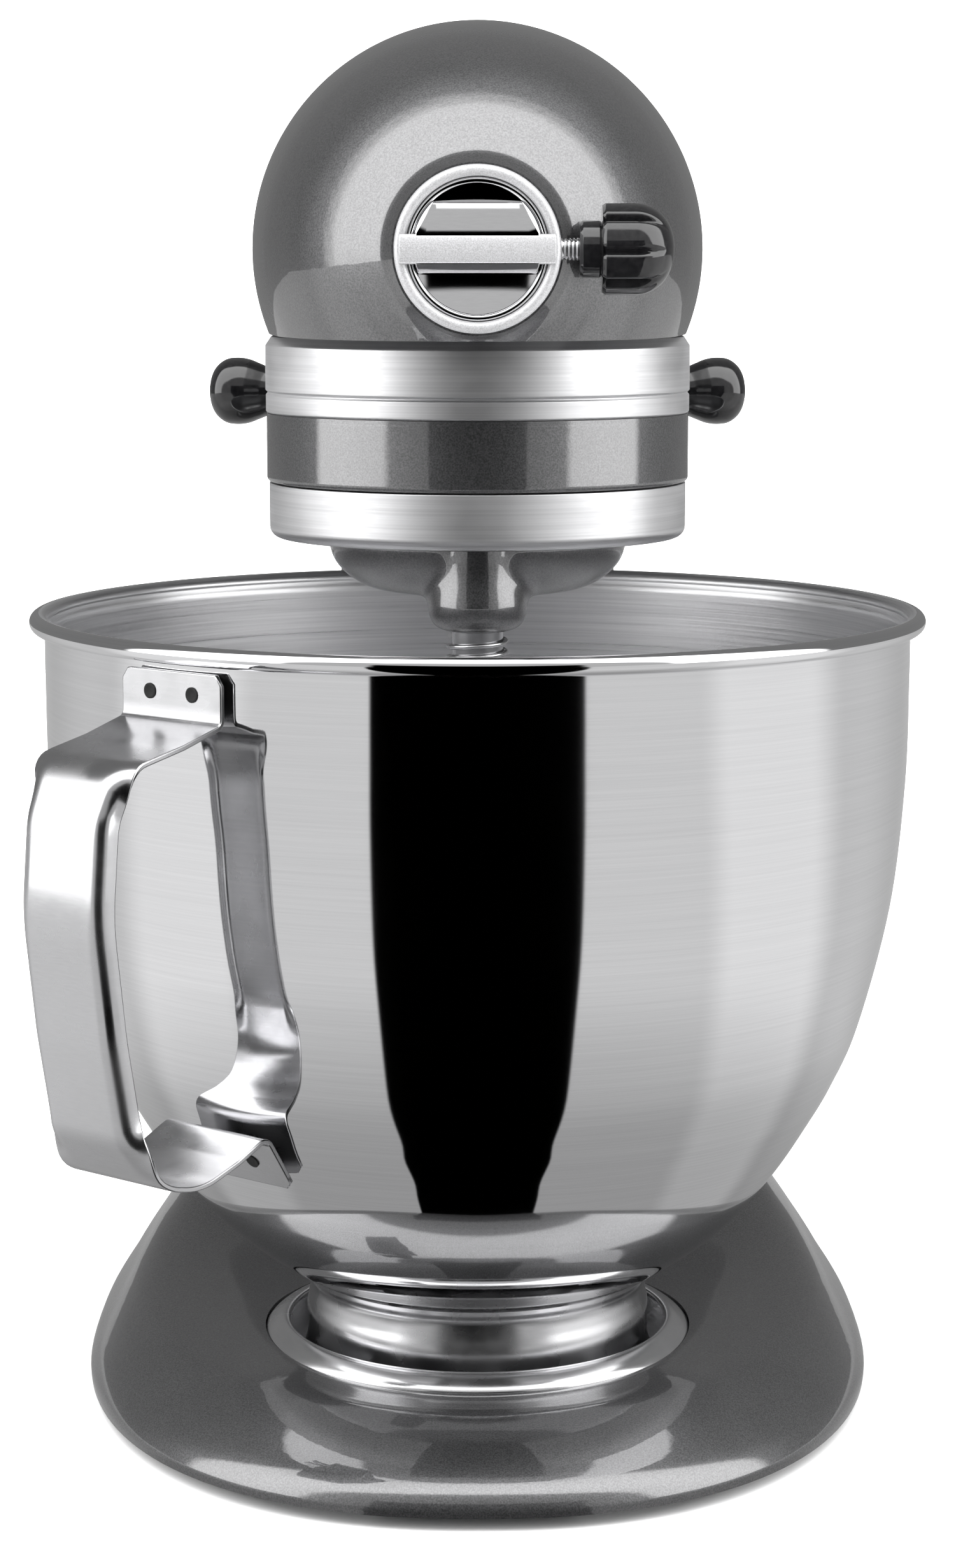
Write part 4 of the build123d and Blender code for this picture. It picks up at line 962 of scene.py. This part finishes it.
def ear_slope():
    """Tool that slopes the tops of the hinge ears down towards the rear."""
    y = BOWL_Y / MM
    low, high = Vector((y + 165, 236)), Vector((y + 215, 199))
    slope = (high - low).normalized()
    away = Vector((-slope.y, slope.x)) * 60
    start, end = low - slope * 10, high + slope * 20
    corners = [start, end, end + away, start + away]
    verts = [Vector((side * 60, c.x, c.y)) * MM for side in (-1, 1) for c in corners]
    faces = [(0, 1, 2, 3), (7, 6, 5, 4), (0, 4, 5, 1), (1, 5, 6, 2), (2, 6, 7, 3), (3, 7, 4, 0)]
    return cutter("slope", verts, faces)


def make_pedestal():
    """One flowing casting: skirt, platform and column, with the clamp's recess and the hinge ears."""
    around = 160
    keys = smooth_curve([Vector(row) for row in PEDESTAL_LOOPS], steps=5)
    verts = [v for key in keys for v in pedestal_loop(*key, around)]
    piece = add_piece("pedestal_casting", verts, loft_faces(len(keys), around), PAINT, "base",
                      ("pedestal",))
    floor = 11.9
    outline = [(0, floor), (CLAMP_R, floor), (CLAMP_R, 60), (0, 60)]
    recess = cutter("recess", *lathe_data(outline, BOWL_CENTRE, Z_AXIS, segments=160))
    # The gap between the ears is open from its floor upwards.
    ear_gap = box_cutter((0, BOWL_Y / MM + 186, 238.5), (40.6, 120, 60))
    cut(piece, [recess, ear_gap, ear_slope()], flat_angle=40)
    soften_edges(piece, 1.2, 3, 50)


def make_clamp_lip():
    """Bright rounded rim of the bowl clamp."""
    lip = smooth_curve([(54.75, 20.2), (54.85, 21.2), (54.0, 22.4), (52.4, 23.6), (50.8, 24.35),
                        (49.4, 24.5), (48.5, 24.1), (48.3, 23.0)], steps=5)
    lathe("clamp_lip", lip + [Vector((49.5, 20.2))], BOWL_CENTRE, Z_AXIS, LIP, "base",
          segments=192, closed=True)


make_clamp_lip()
make_bowl()
make_bowl_foot()
make_handle()
make_pedestal()


# ------------------------------------------------------------------ head
def dome_profile():
    """Skin of the head from the hub to the rear end, as (radius, distance along the head)."""
    nose = [(19.2, -86.0), (20.4, -83.6), (22.4, -81.0), (27.0, -77.6), (32.6, -73.2), (41.6, -62.0),
            (48.6, -45.0), (52.6, -27.0), (55.4, -5.0), (56.6, 18.0), (HEAD_R, 42.0)]
    skin = smooth_curve(nose, steps=8)
    skin += [Vector((HEAD_R, y)) for y in range(50, int(REAR_START), 8)]
    rear = HEAD_REAR - REAR_START
    for k in range(0, 33):
        angle = math.radians(90 * k / 32)
        skin.append(Vector((HEAD_R * math.cos(angle), REAR_START + rear * math.sin(angle))))
    skin[-1].x = 0.0
    return skin


def half_shell(name, profile, replaces):
    """Turned casting about the head's axis, cut level at the joint with the gearcase."""
    verts, faces = lathe_data(profile, HEAD_CENTRE, Y_AXIS, segments=192)
    mesh = bpy.data.meshes.new(name)
    mesh.from_pydata(verts, [], faces)
    work = bmesh.new()
    work.from_mesh(mesh)
    bmesh.ops.remove_doubles(work, verts=work.verts, dist=1e-6)
    joint = BAND_TOP * MM + 0.00015
    geometry = list(work.verts) + list(work.edges) + list(work.faces)
    cut_result = bmesh.ops.bisect_plane(work, geom=geometry, plane_co=(0, 0, joint),
                                        plane_no=(0, 0, 1), clear_inner=True)
    edges = [e for e in cut_result["geom_cut"] if isinstance(e, bmesh.types.BMEdge)]
    bmesh.ops.contextual_create(work, geom=edges)
    work.to_mesh(mesh)
    work.free()
    piece = finish_piece(name, mesh, PAINT, "head", replaces)
    soften_edges(piece, 1.2, 3, 35)
    return piece


def make_head():
    """Housing and end cover, with the vent slots across the cover."""
    skin = dome_profile()
    front = [Vector((18.3, -86.0))] + [p for p in skin if p.y < COVER_SEAM]
    front += [Vector((HEAD_R, COVER_SEAM - 0.2)), Vector((0.0, COVER_SEAM - 0.2))]
    half_shell("head_shell", front, ("head_housing",))
    back = [Vector((0.0, COVER_SEAM + 0.5)), Vector((HEAD_R, COVER_SEAM + 0.5))]
    back += [p for p in skin if p.y > COVER_SEAM + 2]
    cover = half_shell("rear_cover", back, ("end_cover",))
    y = BOWL_Y / MM
    slots = [box_cutter((0, y + 232, height), (34, 60, 3)) for height in (302, 310, 318, 326)]
    cut(cover, slots)


def make_gearcase():
    """Painted wall round the gearcase, set in a little behind the band."""
    profile = rounded(
        [(-50.0, CASE_LOW + 0.05), (0.0, CASE_LOW + 0.05), (0.0, BAND_LOW - 0.35),
         (-2.5, BAND_LOW - 0.35), (-2.5, BAND_TOP), (-50.0, BAND_TOP)],
        [1.2, 0.8, 0, 0], steps=4)
    verts, faces = plan_sweep_data([(max(p.x, -6.0), p.y) for p in guarded(profile)])
    piece = add_piece("gearcase_wall", verts, faces, PAINT, "head")
    cut(piece, lever_slots(50, 18))


def make_trim_band():
    """Brushed band round the joint, with a groove above its lower edge."""
    low, top = BAND_LOW, BAND_TOP
    profile = rounded(
        [(-2.2, low), (-0.3, low), (0.15, low + 0.5), (0.15, low + 4.5), (-0.35, low + 5.1),
         (0.25, low + 5.7), (0.25, top - 2.6), (-1.3, top - 0.3), (-2.2, top - 0.3)],
        [0.3, 0.4, 0.3, 0.2, 0.3, 0.8, 0.4], steps=4)
    verts, faces = plan_sweep_data(guarded(profile))
    piece = add_piece("brushed_band", verts, faces, BRUSHED, "head", ("trim_band",))
    cut(piece, lever_slots(52, 12))


def make_drip_ring():
    """Turned ring under the gearcase, with a rounded lower edge."""
    profile = rounded(
        [(48.3, CASE_LOW), (48.3, 229.0), (49.0, DRIP_LOW + 0.1), (51.9, DRIP_LOW + 0.1), (51.95, 236),
         (51.95, CASE_LOW - 0.2), (50.5, CASE_LOW)],
        [1.0, 0.6, 2.6, 0, 0.3], steps=6)
    lathe("drip_cup", guarded(profile), BOWL_CENTRE, Z_AXIS, BRUSHED, "head",
          ("drip_ring",), segments=192, closed=True)


def make_hub():
    """Rim of the attachment hub, and the cap that closes it."""
    face = HUB_FACE
    rim, rim_round = 17.15, 1.3
    ring = [Vector((rim - rim_round, face + 7)), Vector((rim - rim_round, face + 1.3))]
    ring += arc((rim, face + 0.4), rim_round, 180, 360, 16) + [Vector((rim + rim_round, face + 16))]
    lathe("hub_tube", ring, HEAD_CENTRE, Y_AXIS, SATIN, "head", segments=160, closed=True)
    edge, edge_round, dish_r = 15.05, 0.7, 14.2
    cap = [Vector((edge + edge_round, face + 6)), Vector((edge + edge_round, face + 0.8))]
    cap += arc((edge, face + 0.75), edge_round, 0, -180, 12) + [Vector((dish_r, face + 1.2))]
    depth, curvature, steps = face + 3.1, 50.0, 24
    for k in range(steps + 1):
        r = dish_r - dish_r * k / steps
        cap.append(Vector((r, depth - (curvature - math.sqrt(curvature ** 2 - r ** 2)))))
    lathe("cap_dish", cap, HEAD_CENTRE, Y_AXIS, CHROME, "cap", ("hub_cap",), segments=160)
    # The raised grip: a bar right across the cap, with a long slope above it.
    grip_bar("cap_slope", [(10.1, face + 3), (10.1, face + 0.2), (9.7, face - 0.1), (3.4, face - 1.9),
                           (-3.0, face - 1.9), (-5.4, face + 0.4), (-5.4, face + 3)],
             lambda z: math.sqrt(14.15 ** 2 - z * z) - (0.5 if z > 9.9 else 0.0), CHROME)
    bar, bar_back, bar_reach = 3.3, face - 0.95, 17.3
    pillow = [(bar * math.sin(math.radians(a)), face - 1.5 - 0.85 * math.cos(math.radians(a)))
              for a in range(75, -76, -10)]
    grip_bar("cap_bar", [(bar, bar_back)] + pillow + [(-bar, bar_back)], lambda z: bar_reach, SATIN)


def grip_bar(name, section, half_length, material):
    """Bar along X with the given (height, depth) section; half_length gives its reach at a height."""
    steps = 12
    rows = []
    for height, depth in section:
        reach = half_length(height)
        rows.append([HEAD_CENTRE + Vector((-reach + 2 * reach * k / steps, depth, height)) * MM
                     for k in range(steps + 1)])
    width = len(rows[0])
    verts = [v for row in rows for v in row]
    faces = []
    for row in range(len(rows)):
        following = (row + 1) % len(rows)
        for k in range(width - 1):
            faces.append((row * width + k, row * width + k + 1, following * width + k + 1,
                          following * width + k))
    faces.append(tuple(row * width for row in range(len(rows))))
    faces.append(tuple(row * width + width - 1 for row in range(len(rows))))
    piece = add_piece(name, verts, faces, material, "cap")
    soften_edges(piece, 0.3, 3, 25)


def make_hub_knob():
    """Fluted bullet-shaped knob on a threaded screw, at the hub's right side."""
    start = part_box("hub_knob")[0][0] / MM
    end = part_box("hub_knob")[1][0] / MM
    centre = middle("hub_knob")
    origin = Vector((0, centre.y, centre.z))
    collar = start + 5.0
    widest, nose_start = 10.2, collar + 7.4
    shape = rounded(
        [(2.6, start), (5.9, start), (6.35, start + 0.8), (6.35, collar - 0.5), (5.9, collar),
         (9.6, collar), (widest, collar + 0.8), (widest, nose_start)],
        [0.3, 0.4, 0.4, 0.1, 0.3, 0.5], steps=4)
    nose = []
    for k in range(1, 20):
        angle = math.radians(90 * k / 20)
        nose.append(Vector((widest * math.cos(angle) ** 0.9,
                            nose_start + (end - nose_start) * math.sin(angle))))
    nose.append(Vector((0.0, end)))

    def flutes(angle, along, radius):
        if along < collar + 0.05 or radius < 0.5:
            return 1.0
        turn = math.pi / 4
        off = (angle + 0.35) % turn - turn / 2
        fade = max(0.0, 1.0 - max(0.0, along - collar - 8.5) / 6.0)
        return 1.0 - 0.15 * fade * math.exp(-(off / 0.085) ** 2)

    lathe("clamp_knob", shape + nose, origin, X_AXIS, BLACK, "hub_clamp",
          ("hub_knob",), segments=240, wobble=flutes, flat_angle=40)
    low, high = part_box("hub_screw")
    pitch = 0.9
    thread = [Vector((0.0, low[0] / MM))]
    for k in range(int((high[0] - low[0]) / MM / pitch)):
        base = low[0] / MM + k * pitch
        thread += [Vector((2.15, base)), Vector((2.5, base + pitch * 0.35)),
                   Vector((2.5, base + pitch * 0.55)), Vector((2.15, base + pitch * 0.9))]
    thread.append(Vector((0.0, high[0] / MM)))
    lathe("clamp_screw", thread, origin, X_AXIS, CHROME, "hub_clamp", ("hub_screw",),
          segments=48, flat_angle=60)


def make_lever_knob(name, node, body, side):
    """Small black bulb on the end of a lever."""
    pivot = Vector((side * LEVER_X * MM, BOWL_Y + LEVER_Y * MM, middle(node).z))
    sweep = math.radians(16)
    direction = Vector((side * math.cos(sweep), math.sin(sweep), 0))
    bulb = smooth_curve([(6.3, 23.8), (6.8, 25.6), (7.8, 28.2), (8.9, 31.2), (9.3, 34.2), (8.9, 37.4),
                         (7.0, 40.0), (4.0, 41.3), (0.0, 41.6)], steps=6)
    profile = [Vector((2.2, 23.6)), Vector((5.9, 23.6))] + bulb
    lathe(name, profile, pivot, direction, BLACK, body, (node,), segments=96)
    ferrule = rounded([(0, 22.4), (3.9, 22.4), (4.3, 22.8), (4.3, 23.9), (0, 23.9)],
                      [0.3, 0.3, 0.2], steps=3)
    lathe(name + "_ferrule", ferrule, pivot, direction, CHROME, body, segments=48)


def make_carrier():
    """Cast planetary carrier, with its corners flowed together."""
    def weight(x, y, z):
        """Free where the dish meets the beater's boss, fixed round the shaft holes."""
        boss = np.hypot(x, y - BEATER_Y)
        hub = np.hypot(x, y)
        return ramp_up(boss, 6.8, 8.5) * ramp_up(hub, 8.0, 10.0) * (1 - ramp_up(z, 221.0, 226.0))

    softened("planet_carrier", "planetary_carrier", 0.7, 60, weight, PAINT, "planetary")


make_hub_knob()
make_lever_knob("speed_knob", "speed_lever_knob", "speed_lever", -1)
make_lever_knob("lock_knob", "lock_lever_knob", "lock_lever", 1)
make_carrier()
make_head()
make_gearcase()
make_trim_band()
make_drip_ring()
make_hub()
